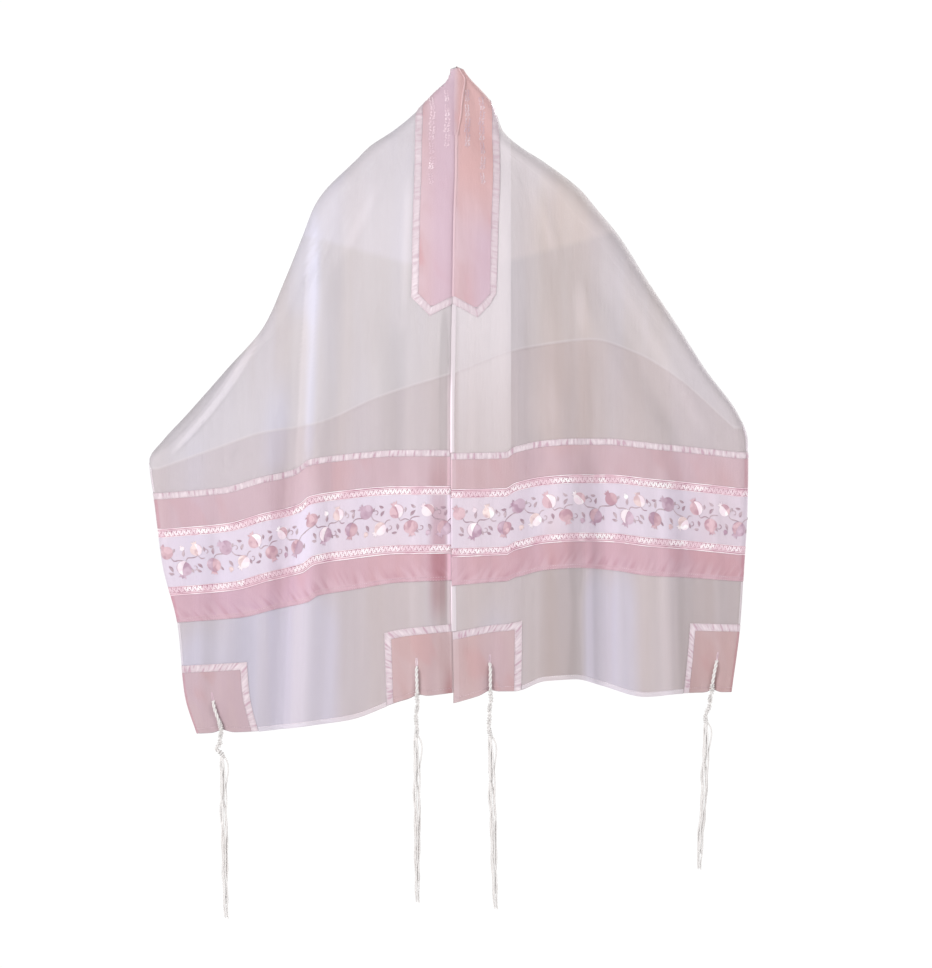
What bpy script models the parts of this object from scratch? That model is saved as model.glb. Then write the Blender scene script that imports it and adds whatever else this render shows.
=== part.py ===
"""Tallit prayer shawl, kept in the hollow form that it takes when it hangs from the middle of its neck edge.

The shawl is one rectangle of sheer cloth. The middle of one long edge is the peak. From there each half comes
forward over a slanting fold and hangs as a front panel, and the part between the two folds hangs as the back.
Bands, trims, ribbons, corner squares and the atarah lie on the front of that cloth, each cut from its pattern, and
a tassel hangs at each corner.

Units are metres, with X to the right as seen from the front, -Y to the front and +Z up. The origin is the
underside of the peak, where the shawl is held. Tables of the drape are in millimetres.
"""

import math
from bisect import bisect_right
from collections import namedtuple

import bmesh
import bpy
from mathutils import Vector
from mathutils.geometry import barycentric_transform, intersect_point_tri_2d, normal

MM = 0.001

# Cut of the shawl: measured along the neck edge from its middle, and across from that edge
SHAWL_WIDTH = 0.500
NECK_TO_HEM = 0.965
NECK_TO_FOLD_END = 0.555
CLOTH_THICKNESS = 0.0016

# Pieces laid on the cloth
TRIM_THICKNESS = 0.0010
SEAM_GAP = 0.0003
EDGE_INSET = 0.0008
SLIVER = 0.0009

# Place of the peak and of the two front edges
PEAK_HEIGHT = 0.012
FRONT_EDGE_GAP = 0.0015
BACK_MIDDLE_X = 0.003

# Rows of the drape above the fold's end, as lengths down the neck edge
FOLD_ROWS = (0.008, 0.021, 0.040, 0.060, 0.080, 0.104, 0.132, 0.164, 0.200, 0.240, 0.285, 0.330, 0.380, 0.430,
             0.480, 0.520, NECK_TO_FOLD_END)

# Bands across each end of the shawl, from the top: how far down each one starts, and the hem side of the last
Band = namedtuple("Band", "name top bottom colour roughness")
SATIN = (0.86, 0.72, 0.76)
PINK_VOILE = (0.72, 0.46, 0.49)
METALLIC_TRIM = (0.78, 0.60, 0.66)
EMBROIDERED_VOILE = (0.78, 0.66, 0.76)
BANDS = (
    Band("band_ribbon", 0.593, 0.603, SATIN, 0.30),
    Band("upper_pink_band", 0.603, 0.648, PINK_VOILE, 0.65),
    Band("upper_trim", 0.648, 0.662, METALLIC_TRIM, 0.40),
    Band("embroidered_band", 0.662, 0.738, EMBROIDERED_VOILE, 0.60),
    Band("lower_trim", 0.738, 0.752, METALLIC_TRIM, 0.40),
    Band("lower_pink_band", 0.752, 0.793, PINK_VOILE, 0.65),
)

# Corner squares, with a ribbon over the top edge and the edge away from the shawl's own edge
SQUARE_SIDE = 0.105
SQUARE_RIBBON = 0.011
BELOW_BANDS = (0.828,)
IN_SQUARES = (0.918,)

# Atarah: the collar strip along the neck edge, pointed at both ends, with a ribbon along its free edges
ATARAH_WIDTH = 0.070
ATARAH_RIBBON = 0.011
ATARAH_AT_OUTER_EDGE = 0.357
ATARAH_AT_POINT = 0.387
ATARAH_AT_NECK_EDGE = 0.366
ATARAH_POINT_ACROSS = 0.040

# Places where a row of the cloth is bent: on the front run in parts of its length, and how often on each half of
# the outer roll and on the back. Four of the finest row's places stand at the edges of the squares.
ROLL_SHARE = 0.03
SQUARE_PLACES = tuple(
    across / SHAWL_WIDTH / (1 - ROLL_SHARE)
    for across in (SQUARE_SIDE - SQUARE_RIBBON, SQUARE_SIDE,
                   SHAWL_WIDTH - SQUARE_SIDE, SHAWL_WIDTH - SQUARE_SIDE + SQUARE_RIBBON))
Detail = namedtuple("Detail", "down_to front roll back")
DETAILS = (
    Detail(0.060, (0, 0.35, 0.7, 1), 2, 5),
    Detail(0.200, (0, 0.2, 0.4, 0.6, 0.8, 1), 2, 8),
    Detail(NECK_TO_HEM, tuple(sorted(
        (0, 0.065, 0.13, 0.28, 0.345, 0.41, 0.475, 0.54, 0.605, 0.67, 0.74, 0.895, 0.95, 1) + SQUARE_PLACES)), 3, 13),
)

# Form of the drape in millimetres, a row for each level: drop from the peak, reach of the left and the right fold
# from X = 0, place of the front opening, reach of the front and of the back from Y = 0, and radius of the folds
Section = namedtuple("Section", "drop left middle right front back roll")
SECTIONS = (
    Section(0, 4, 4, 10, 5, 5, 4),
    Section(20, 9, 5, 25, 11, 12, 6),
    Section(38, 28, 5, 42, 18, 20, 10),
    Section(57, 46, 5, 58, 24, 28, 14),
    Section(75, 64, 6, 66, 30, 35, 18),
    Section(100, 95, 6, 76, 38, 44, 24),
    Section(123, 130, 6, 101, 45, 52, 30),
    Section(146, 153, 6, 137, 52, 60, 34),
    Section(192, 200, 5, 197, 64, 74, 40),
    Section(216, 216, 4, 217, 69, 80, 40),
    Section(262, 234, 3, 255, 75, 86, 36),
    Section(331, 262, 2, 299, 80, 88, 30),
    Section(400, 293, 0, 345, 83, 88, 25),
    Section(470, 353, -1, 390, 85, 86, 21),
    Section(539, 414, -2, 440, 86, 82, 18),
    Section(578, 450, -2, 454, 86, 80, 16),
    Section(608, 471, -2, 454, 86, 78, 14),
    Section(678, 462, -2, 453, 85, 76, 12),
    Section(770, 450, -1, 448, 84, 76, 10),
    Section(862, 427, 0, 442, 82, 76, 9),
    Section(970, 416, 2, 428, 80, 76, 8),
    Section(1035, 396, 2, 420, 80, 76, 8),
)

# How far the cloth sags below its own length, in millimetres, at places across each panel
Sag = namedtuple("Sag", "across at_bands at_hem")
LEFT_SAG = (
    Sag(0.00, 0, 0), Sag(0.18, 0, 11), Sag(0.40, 8, 42), Sag(0.49, 15, 48), Sag(0.53, 28, 50), Sag(0.66, 42, 57),
    Sag(0.78, 57, 62), Sag(1.00, 66, 66),
)
RIGHT_SAG = (
    Sag(0.00, 5, 17), Sag(0.19, 3, -1), Sag(0.22, -5, -1), Sag(0.33, -15, -17), Sag(0.44, -18, -20),
    Sag(0.54, -18, -9), Sag(0.70, -11, 8), Sag(0.82, -6, 4), Sag(1.00, 3, 2),
)
SAG_STARTS = 0.15
SAG_BANDS = 0.56
SAG_LEAVES_BANDS = 0.70

# The lower cloth is spread flat near the corner squares and gathered between them: how far its places move, in
# parts of the front run, away from both ends and towards the outer one
Spread = namedtuple("Spread", "both outward")
SPREADS = {-1: Spread(0.046, 0.0), 1: Spread(0.0, 0.045)}
SPREAD_STARTS, SPREAD_FULL = 0.600, 0.860

# Hem of the back in millimetres: its drop at places from a fold's end to the middle of the back
BACK_HEM_MIDDLE = 473
BackHem = namedtuple("BackHem", "across left right")
BACK_HEM = (
    BackHem(0.00, 600, 577), BackHem(0.20, 572, 497), BackHem(0.35, 552, 455), BackHem(0.52, 543, 431),
    BackHem(0.75, 504, 440), BackHem(1.00, BACK_HEM_MIDDLE, BACK_HEM_MIDDLE),
)

# Soft folds in millimetres: place across from X = 0 at the top and at the foot, levels where the fold starts and
# ends, half of its width, and how far it stands out of the cloth, or into it where negative
Fold = namedtuple("Fold", "top_x foot_x top foot half_width rise")
FRONT_FOLDS = (
    Fold(-195, -218, 230, 1100, 44, 16),
    Fold(-240, -262, 430, 1100, 36, -13),
    Fold(-300, -330, 500, 1100, 50, 11),
    Fold(-110, -115, 260, 1100, 60, -9),
    Fold(-45, -50, 560, 1100, 45, 7),
    Fold(88, 90, 110, 640, 26, 9),
    Fold(135, 130, 320, 1100, 42, -8),
    Fold(165, 180, 430, 1100, 52, 12),
    Fold(225, 238, 560, 1100, 32, -15),
    Fold(290, 315, 480, 1100, 55, 12),
    Fold(360, 385, 560, 1100, 32, -8),
)
BACK_FOLDS = (
    Fold(-150, -345, 240, 640, 48, 13),
    Fold(-110, -258, 240, 620, 46, -14),
    Fold(-75, -168, 220, 600, 50, 16),
    Fold(-36, -84, 220, 590, 44, -15),
    Fold(0, 4, 200, 590, 48, 18),
    Fold(40, 92, 220, 590, 44, -15),
    Fold(75, 172, 220, 560, 48, 16),
    Fold(112, 250, 240, 540, 44, -14),
    Fold(150, 335, 240, 560, 50, 13),
)
FOLD_GROWS_OVER = 120
FREE_EDGE_SWEEP = 45

# Tassels in millimetres: place of the eyelet on the shawl, length of the wound and knotted cord from the eyelet,
# length of the free strands, and sideways lean of the cord's end and of the strands' ends
Tassel = namedtuple("Tassel", "name side across down cord strands cord_lean strand_lean")
TASSELS = (
    Tassel("tassel_left_outer", -1, 452, 914, 92, 250, -4, 10),
    Tassel("tassel_left_inner", -1, 56, 916, 112, 256, -1, 2),
    Tassel("tassel_right_inner", 1, 56, 916, 120, 265, -2, 8),
    Tassel("tassel_right_outer", 1, 455, 914, 103, 226, -10, -11),
)
CORD_RADIUS = 0.0024
KNOT_RADIUS = 0.0036
CORD_CLEARANCE = 0.0008
CORD_SEAT = 0.0005
KNOTS = 4
RINGS_PER_KNOT = 3
STRAND_STEPS = 4
STRAND_TAPER = 0.0004
STRAND_SPREAD = 0.0055
SHORTEST_STRAND = 0.86
TASSEL_WHITE = (0.86, 0.83, 0.83)


def interpolated(rows, key, column, at):
    """Reads a table's column at a place between its rows, along a smooth curve that never overshoots them."""
    xs = [getattr(row, key) for row in rows]
    ys = [getattr(row, column) for row in rows]
    at = min(max(at, xs[0]), xs[-1])
    i = min(max(bisect_right(xs, at) - 1, 0), len(xs) - 2)
    slopes = [(ys[k + 1] - ys[k]) / (xs[k + 1] - xs[k]) for k in range(len(xs) - 1)]

    def tangent(k):
        if k == 0 or k == len(xs) - 1:
            return slopes[min(k, len(slopes) - 1)]
        before, after = slopes[k - 1], slopes[k]
        return 0.0 if before * after <= 0 else 2 * before * after / (before + after)

    width = xs[i + 1] - xs[i]
    t = (at - xs[i]) / width
    return (ys[i] * (1 + 2 * t) * (1 - t) ** 2 + ys[i + 1] * t * t * (3 - 2 * t)
            + width * (tangent(i) * t * (1 - t) ** 2 - tangent(i + 1) * t * t * (1 - t)))


def section(column, drop):
    """One of the drape's measures, in metres, at a drop from the peak in metres."""
    return interpolated(SECTIONS, "drop", column, drop / MM) * MM


def ramp(start, end, value):
    """Rises smoothly from 0 at start to 1 at end."""
    t = min(max((value - start) / (end - start), 0.0), 1.0)
    return t * t * (3 - 2 * t)


def relief(folds, x, drop):
    """How far the soft folds of one face stand out at a place, in metres."""
    total = 0.0
    level = drop / MM
    for fold in folds:
        down = (level - fold.top) / (fold.foot - fold.top)
        away = abs(x / MM - fold.top_x - (fold.foot_x - fold.top_x) * min(max(down, 0.0), 1.0)) / fold.half_width
        if 0.0 < down < 1.0 and away < 1.0:
            grown = ramp(fold.top, fold.top + FOLD_GROWS_OVER, level)
            grown *= ramp(fold.foot, fold.foot - FOLD_GROWS_OVER / 2, level)
            total += fold.rise * grown * math.cos(away * math.pi / 2) ** 2
    return total * MM


def reach(side, drop):
    return section("left" if side < 0 else "right", drop)


def front_drop(side, down, run):
    """Drop from the peak of a place in a front panel: its length down the cloth and the panel's sag."""
    sags = LEFT_SAG if side < 0 else RIGHT_SAG
    at_bands = interpolated(sags, "across", "at_bands", run) * MM
    at_hem = interpolated(sags, "across", "at_hem", run) * MM
    sag = at_bands + (at_hem - at_bands) * ramp(SAG_LEAVES_BANDS, NECK_TO_HEM, down)
    return down + sag * ramp(SAG_STARTS, SAG_BANDS, down)


def roll_sweep(down):
    """Angle through which the outer roll turns before it reaches the widest place."""
    return math.radians(90 + (FREE_EDGE_SWEEP - 90) * ramp(NECK_TO_FOLD_END, NECK_TO_HEM, down))


def spread(side, down, run):
    """Where a place of the front run hangs between its two ends: the corners lie flatter than the folds between."""
    both, outward = SPREADS[side]
    shift = both * math.sin(2 * math.pi * run) + outward * math.sin(math.pi * run)
    return run + shift * ramp(SPREAD_STARTS, SPREAD_FULL, down)


def front_place(side, down, run):
    """A place on the front run: `down` along the neck edge, and `run` of the way to the outer roll."""
    run = spread(side, down, run)
    drop = front_drop(side, down, run)
    roll = section("roll", drop)
    first = section("middle", drop) + side * FRONT_EDGE_GAP
    last = side * (reach(side, drop) - roll * math.sin(roll_sweep(down)))
    x = first + (last - first) * run
    y = -roll - (section("front", drop) - roll) * (0.5 + 0.5 * math.cos(math.pi * run))
    return Vector((x, y - relief(FRONT_FOLDS, x, drop), PEAK_HEIGHT - drop))


def roll_place(side, down, turned):
    """A place on the outer roll: turned goes from 0 at the front, through 1 at the widest place, to 2 behind."""
    drop = front_drop(side, down, 1)
    roll = section("roll", drop)
    sweep = roll_sweep(down)
    angle = sweep * turned
    x = side * (reach(side, drop) - roll * (math.sin(sweep) - math.sin(angle)))
    return Vector((x, -roll * math.cos(angle), PEAK_HEIGHT - drop))


def back_place(side, down, inward):
    """A place on the back, `inward` of the way from the roll to the middle of the back."""
    at_fold = front_drop(side, down, 1)
    share = down / NECK_TO_FOLD_END
    column = "left" if side < 0 else "right"
    hem = interpolated(BACK_HEM, "across", column, inward)
    straight = getattr(BACK_HEM[0], column) * (1 - inward) + BACK_HEM_MIDDLE * inward
    drop = at_fold * (1 - inward) + BACK_HEM_MIDDLE * MM * share * inward + (hem - straight) * MM * share ** 2
    roll = section("roll", at_fold)
    x = side * (reach(side, at_fold) - roll) * (1 - inward) + BACK_MIDDLE_X * inward
    y = roll + (section("back", drop) - roll) * (0.5 - 0.5 * math.cos(math.pi * inward))
    return Vector((x, y + relief(BACK_FOLDS, x, drop), PEAK_HEIGHT - drop))


def row_of_places(side, down):
    """One row of the cloth, from the front edge over the fold to the middle of the back.

    Gives three lists: how far round each point is (1 for the front, 2 for the roll, 1 for the back), its place, and
    its place in the flat pattern.
    """
    detail = next(detail for detail in DETAILS if down <= detail.down_to)
    turns = [step / detail.roll for step in range(1, detail.roll + 1)]
    around = list(detail.front) + [1 + turn for turn in turns]
    places = [front_place(side, down, run) for run in detail.front] + [roll_place(side, down, t) for t in turns]
    if down > NECK_TO_FOLD_END:
        shares = [run * (1 - ROLL_SHARE) for run in detail.front] + [1 - ROLL_SHARE * (1 - turn) for turn in turns]
        return around, places, [(side * down, share * SHAWL_WIDTH) for share in shares]
    lengths = [0.0]
    for before, after in zip(places, places[1:]):
        lengths.append(lengths[-1] + (after - before).length)
    across = SHAWL_WIDTH if down == NECK_TO_FOLD_END else lengths[-1]
    flats = [(side * down, min(length, SHAWL_WIDTH)) for length in lengths[:-1]] + [(side * down, across)]
    inward = [step / detail.back for step in range(1, detail.back + 1)]
    around += [2 + turn for turn in turns] + [3 + part for part in inward]
    places += [roll_place(side, down, 1 + turn) for turn in turns]
    places += [back_place(side, down, part) for part in inward]
    behind = detail.roll + detail.back
    flats += [(side * down * (1 - step / behind), across) for step in range(1, behind + 1)]
    return around, places, flats


def stitch(mesh, upper, lower, side):
    """Joins two rows of (how far round, point) with triangles, whatever their numbers of points."""
    above, below = 0, 0
    while above < len(upper) - 1 or below < len(lower) - 1:
        next_above = upper[above + 1][0] if above < len(upper) - 1 else math.inf
        next_below = lower[below + 1][0] if below < len(lower) - 1 else math.inf
        corners = [lower[below][1], upper[above][1]]
        if next_below <= next_above:
            below += 1
            corners.insert(1, lower[below][1])
        else:
            above += 1
            corners.insert(1, upper[above][1])
        mesh.faces.new(corners if side > 0 else corners[::-1])


def pattern_of_shawl():
    """The shawl as an open mesh lying in its flat pattern, whose points carry their place and outward direction."""
    mesh = bmesh.new()
    place_layer = mesh.verts.layers.float_vector.new("place")
    outward_layer = mesh.verts.layers.float_vector.new("outward")
    flat_layer = mesh.verts.layers.float_vector.new("flat")

    def point(place, flat):
        vert = mesh.verts.new(place)
        vert[flat_layer] = Vector((flat[0], flat[1], 0))
        return vert

    peak = point(Vector((SECTIONS[0].middle * MM, 0, PEAK_HEIGHT)), (0, 0))
    square_top = NECK_TO_HEM - SQUARE_SIDE
    lower_rows = {band.top for band in BANDS} | set(BELOW_BANDS) | set(IN_SQUARES)
    lower_rows |= {BANDS[-1].bottom, square_top, square_top + SQUARE_RIBBON, NECK_TO_HEM}
    middles = {}
    for side in (-1, 1):
        above = [(0, peak)]
        for down in FOLD_ROWS + tuple(sorted(lower_rows)):
            around, places, flats = row_of_places(side, down)
            row = [(turn, point(place, flat)) for turn, place, flat in zip(around[:-1], places, flats)]
            if down > NECK_TO_FOLD_END or side < 0:
                row.append((around[-1], point(places[-1], flats[-1])))
                middles.setdefault(down, row[-1][1])
            else:
                row.append((around[-1], middles[down]))
            upper = [pair for pair in above if pair[0] <= around[-1]]
            stitch(mesh, upper, row, side)
            above = row
    mesh.normal_update()
    for vert in mesh.verts:
        vert[place_layer] = vert.co
        vert[outward_layer] = vert.normal
        vert.co = vert[flat_layer]
    return mesh


def link_object(name, mesh, material, sharp_degrees=40):
    data = bpy.data.meshes.new(name)
    mesh.to_mesh(data)
    mesh.free()
    data.materials.append(material)
    data.shade_smooth()
    data.set_sharp_from_angle(angle=math.radians(sharp_degrees))
    made = bpy.data.objects.new(name, data)
    bpy.context.scene.collection.objects.link(made)
    return made


def plain_material(name, colour, roughness):
    material = bpy.data.materials.new(name)
    material.use_nodes = True
    shader = material.node_tree.nodes["Principled BSDF"]
    shader.inputs["Base Color"].default_value = (*colour, 1)
    shader.inputs["Roughness"].default_value = roughness
    return material


def outline_edges(outline):
    """Each edge of a convex outline of the pattern, with the direction that leaves it."""
    middle = sum((Vector(corner) for corner in outline), Vector((0, 0))) / len(outline)
    for start, end in zip(outline, outline[1:] + outline[:1]):
        start, end = Vector(start), Vector(end)
        leaving = Vector((end.y - start.y, start.x - end.x)).normalized()
        if leaving.dot(start - middle) < 0:
            leaving = -leaving
        yield start, leaving


def cut_along(piece, start, leaving, clear_outer, sliver=0.0):
    """Cuts a piece along a line of the pattern, and takes up the slivers that the cut leaves beside a row."""
    leaving = leaving.to_3d()
    cut = bmesh.ops.bisect_plane(piece, geom=piece.verts[:] + piece.edges[:] + piece.faces[:], dist=1e-6,
                                 plane_co=start.to_3d(), plane_no=leaving, clear_outer=clear_outer)["geom_cut"]
    fresh = [item for item in cut if isinstance(item, bmesh.types.BMVert)]
    square_on = [vert for vert in fresh
                 if any(abs((edge.other_vert(vert).co - vert.co).normalized().dot(leaving)) > 0.9999
                        for edge in vert.link_edges)]
    if sliver:
        slivers = bmesh.ops.find_doubles(piece, verts=fresh, keep_verts=square_on, dist=sliver)
        bmesh.ops.weld_verts(piece, targetmap=slivers["targetmap"])


def laid_piece(name, pattern, outline, material, inner=None, sliver=SLIVER):
    """Cuts a convex outline out of the pattern, less the inner outline, and lays it on the outside of the cloth."""
    piece = pattern.copy()
    for start, leaving in outline_edges(outline):
        cut_along(piece, start - leaving * SEAM_GAP / 2, leaving, clear_outer=True, sliver=sliver)
    if inner:
        edges = [(start + leaving * SEAM_GAP / 2, leaving) for start, leaving in outline_edges(inner)]
        for start, leaving in edges:
            cut_along(piece, start, leaving, clear_outer=False, sliver=sliver)
        inside = [face for face in piece.faces
                  if all((face.calc_center_median().to_2d() - start).dot(leaving) < 0 for start, leaving in edges)]
        bmesh.ops.delete(piece, geom=inside, context="FACES")
    seat = CLOTH_THICKNESS / 2 + SEAM_GAP
    return wall(name, piece, seat, seat + TRIM_THICKNESS, material)


def wall(name, piece, inner, outer, material):
    """Gives an open piece of the pattern its place and a wall between two distances from the cloth's middle."""
    place_layer = piece.verts.layers.float_vector["place"]
    outward_layer = piece.verts.layers.float_vector["outward"]
    under = piece.verts[:]
    extruded = bmesh.ops.extrude_face_region(piece, geom=piece.faces[:], use_keep_orig=True)
    over = [item for item in extruded["geom"] if isinstance(item, bmesh.types.BMVert)]
    for verts, distance in ((under, inner), (over, outer)):
        for vert in verts:
            vert.co = vert[place_layer] + vert[outward_layer].normalized() * distance
    bmesh.ops.triangulate(piece, faces=piece.faces[:])
    bmesh.ops.recalc_face_normals(piece, faces=piece.faces[:])
    return link_object(name, piece, material)


def band_outline(side, top, bottom):
    first, last = EDGE_INSET, SHAWL_WIDTH - EDGE_INSET
    return [(side * top, first), (side * bottom, first), (side * bottom, last), (side * top, last)]


def make_bands(pattern):
    for band in BANDS:
        material = plain_material(band.name, band.colour, band.roughness)
        for side, side_name in ((-1, "left"), (1, "right")):
            laid_piece(f"{side_name}_{band.name}", pattern, band_outline(side, band.top, band.bottom), material)


def make_corner_squares(pattern):
    cloth = plain_material("corner_square", PINK_VOILE, 0.65)
    satin = plain_material("corner_ribbon", SATIN, 0.30)
    top, foot = NECK_TO_HEM - SQUARE_SIDE, NECK_TO_HEM - EDGE_INSET
    for side, side_name in ((-1, "left"), (1, "right")):
        for place, near, far in (("inner", EDGE_INSET, SQUARE_SIDE),
                                 ("outer", SHAWL_WIDTH - EDGE_INSET, SHAWL_WIDTH - SQUARE_SIDE)):
            ribbon_at = far - math.copysign(SQUARE_RIBBON, far - near)
            whole = [(side * top, near), (side * foot, near), (side * foot, far), (side * top, far)]
            field_top = top + SQUARE_RIBBON
            field = [(side * field_top, near), (side * foot, near), (side * foot, ribbon_at),
                     (side * field_top, ribbon_at)]
            beyond = near - math.copysign(EDGE_INSET, far - near)
            inner = [(side * field_top, beyond), (side * NECK_TO_HEM, beyond), (side * NECK_TO_HEM, ribbon_at),
                     (side * field_top, ribbon_at)]
            laid_piece(f"{side_name}_{place}_corner_square", pattern, field, cloth)
            laid_piece(f"{side_name}_{place}_corner_ribbon", pattern, whole, satin, inner=inner)


def atarah_outline(inset):
    """The atarah's outline, with its free edges moved in; the neck edge stays where it is."""
    slant = math.hypot(ATARAH_AT_POINT - ATARAH_AT_OUTER_EDGE, ATARAH_WIDTH - ATARAH_POINT_ACROSS)
    shift = inset * slant / (ATARAH_WIDTH - ATARAH_POINT_ACROSS)
    outer_slope = (ATARAH_AT_POINT - ATARAH_AT_OUTER_EDGE) / (ATARAH_WIDTH - ATARAH_POINT_ACROSS)
    neck = EDGE_INSET
    half = [(ATARAH_AT_OUTER_EDGE - shift + outer_slope * inset, ATARAH_WIDTH - inset),
            (ATARAH_AT_POINT - shift, ATARAH_POINT_ACROSS),
            (ATARAH_AT_NECK_EDGE - shift, neck)]
    return half + [(-down, across) for down, across in reversed(half)]


def make_atarah(pattern):
    whole = atarah_outline(0)
    field = atarah_outline(ATARAH_RIBBON + SEAM_GAP)
    beyond = [(down, 0 if across == EDGE_INSET else across) for down, across in atarah_outline(ATARAH_RIBBON)]
    laid_piece("atarah", pattern, field, plain_material("atarah", PINK_VOILE, 0.6), sliver=0)
    laid_piece("atarah_ribbon", pattern, whole, plain_material("atarah_ribbon", SATIN, 0.30), beyond, sliver=0)


def frame_along(path, index):
    """Sideways and depth directions across a path at one of its points."""
    before = path[max(index - 1, 0)]
    after = path[min(index + 1, len(path) - 1)]
    along = (after - before).normalized()
    sideways = Vector((1, 0, 0))
    sideways = (sideways - along * sideways.dot(along)).normalized()
    return sideways, along.cross(sideways)


def on_cloth(pattern, down, across):
    """Place of one point of the pattern on the cloth, and the outward direction of the facet that holds it."""
    flat = Vector((down, across, 0))
    place_layer = pattern.verts.layers.float_vector["place"]
    outward_layer = pattern.verts.layers.float_vector["outward"]
    for face in pattern.faces:
        corners = [vert.co for vert in face.verts]
        if intersect_point_tri_2d(flat.to_2d(), *[corner.to_2d() for corner in corners]):
            places = [vert[place_layer] for vert in face.verts]
            facing = normal(places)
            if facing.dot(face.verts[0][outward_layer]) < 0:
                facing = -facing
            return barycentric_transform(flat, *corners, *places), facing
    raise ValueError(f"no cloth at {down:.3f}, {across:.3f}")


def tassel_route(tassel, pattern):
    """Points and radii of the wound cord: out of the eyelet, down over the hem, and on to its last knot."""
    across = tassel.across * MM
    down = tassel.down * MM
    to_hem = NECK_TO_HEM - down
    length = tassel.cord * MM
    rings = KNOTS * RINGS_PER_KNOT
    seat = CLOTH_THICKNESS / 2 + SEAM_GAP + TRIM_THICKNESS + CORD_SEAT
    clear = seat + KNOT_RADIUS + CORD_CLEARANCE
    eyelet, outward = on_cloth(pattern, tassel.side * down, across)
    path = [eyelet + outward * seat, eyelet + outward * (seat + CORD_RADIUS) - Vector((0, 0, CORD_CLEARANCE))]
    radii = [CORD_RADIUS * 0.7, CORD_RADIUS * 0.9]
    hem, outward = on_cloth(pattern, tassel.side * (NECK_TO_HEM - EDGE_INSET), across)
    hem += outward * clear
    for ring in range(1, rings + 1):
        gone = length * ring / rings
        if gone < to_hem:
            place, outward = on_cloth(pattern, tassel.side * (down + gone), across)
            path.append(place + outward * clear)
        else:
            below = (gone - to_hem) / (length - to_hem)
            path.append(hem + Vector((tassel.cord_lean * MM * ramp(0, 1, below), 0, to_hem - gone)))
        radii.append(KNOT_RADIUS if ring % RINGS_PER_KNOT == 1 else CORD_RADIUS)
    return path, radii


def make_tassel(tassel, pattern, material):
    """A wound cord of twelve sides, whose lower end is divided in nine; eight of these grow into strands."""
    mesh = bmesh.new()
    path, radii = tassel_route(tassel, pattern)
    rings = []
    for index, (centre, radius) in enumerate(zip(path, radii)):
        sideways, depth = frame_along(path, index)
        angles = [math.radians(30 * k - 135) for k in range(12)]
        rings.append([mesh.verts.new(centre + (sideways * math.cos(a) + depth * math.sin(a)) * radius)
                      for a in angles])
    mesh.faces.new(rings[0])
    for upper, lower in zip(rings, rings[1:]):
        for k in range(12):
            mesh.faces.new((upper[k], lower[k], lower[(k + 1) % 12], upper[(k + 1) % 12]))
    end = rings[-1]
    sideways, depth = frame_along(path, len(path) - 1)
    third = radii[-1] / 3
    core = [mesh.verts.new(path[-1] + (sideways * a + depth * b) * third)
            for a, b in ((-1, -1), (1, -1), (1, 1), (-1, 1))]
    quads = []
    for k in range(4):
        corner, after, before = end[3 * k], end[(3 * k + 1) % 12], end[(3 * k - 1) % 12]
        quads.append((corner, after, core[k], before))
        quads.append((after, end[3 * k + 2], core[(k + 1) % 4], core[k]))
    cells = [mesh.faces.new(quad) for quad in quads]
    mesh.faces.new(core)
    bmesh.ops.recalc_face_normals(mesh, faces=mesh.faces[:])
    bmesh.ops.inset_individual(mesh, faces=cells, thickness=STRAND_TAPER, use_even_offset=True)
    for number, cell in enumerate(cells):
        grow_strand(mesh, cell, path[-1], number, tassel)
    bmesh.ops.recalc_face_normals(mesh, faces=mesh.faces[:])
    return link_object(tassel.name, mesh, material)


def grow_strand(mesh, cell, root, number, tassel):
    """Extrudes one cell of the cord's end, step by step, into a strand that parts from its neighbours."""
    away = cell.calc_center_median() - root
    away.z = 0
    away.normalize()
    turn = 2.4 * number
    length = tassel.strands * MM * (SHORTEST_STRAND + (1 - SHORTEST_STRAND) * (0.5 + 0.5 * math.cos(turn * 1.7)))
    before = Vector((0, 0, 0))
    for step in range(1, STRAND_STEPS + 1):
        share = step / STRAND_STEPS
        sway = Vector((math.cos(turn + 3 * share), math.sin(turn + 3 * share), 0)) * 0.0012 * math.sin(math.pi * share)
        now = (away * STRAND_SPREAD * share ** 0.7 + sway + Vector((tassel.strand_lean * MM * share ** 1.4, 0, 0))
               + Vector((0, 0, -length * share)))
        moved = bmesh.ops.extrude_discrete_faces(mesh, faces=[cell])["faces"][0]
        bmesh.ops.translate(mesh, verts=moved.verts[:], vec=now - before)
        before = now
        cell = moved


def main():
    for made in list(bpy.data.objects):
        bpy.data.objects.remove(made, do_unlink=True)
    pattern = pattern_of_shawl()
    make_bands(pattern)
    make_corner_squares(pattern)
    make_atarah(pattern)
    wool = plain_material("tassel", TASSEL_WHITE, 0.75)
    for tassel in TASSELS:
        make_tassel(tassel, pattern, wool)
    cloth = plain_material("shawl_cloth", (0.72, 0.66, 0.73), 0.6)
    wall("shawl_cloth", pattern, -CLOTH_THICKNESS / 2, CLOTH_THICKNESS / 2, cloth)


main()
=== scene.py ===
"""Looks of the tallit prayer shawl: sheer cloth, bands, trims, embroidery, corner squares, atarah and tassels.

Everything is cut flat first and then laid on the drape. The flat pattern is the shawl's own rectangle: its first
coordinate is the length along the neck edge from the middle, less than 0 on the left half and more than 0 on the
right, its second one is the distance across from the neck edge, and its third one is the height over the cloth.
Lengths are in metres, and the tables of the drape in millimetres.
"""

import math
from collections import namedtuple
from functools import lru_cache

import bpy
import numpy as np
from bpy.props import FloatProperty, FloatVectorProperty, IntProperty, PointerProperty
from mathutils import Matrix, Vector
from mathutils.bvhtree import BVHTree


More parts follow.
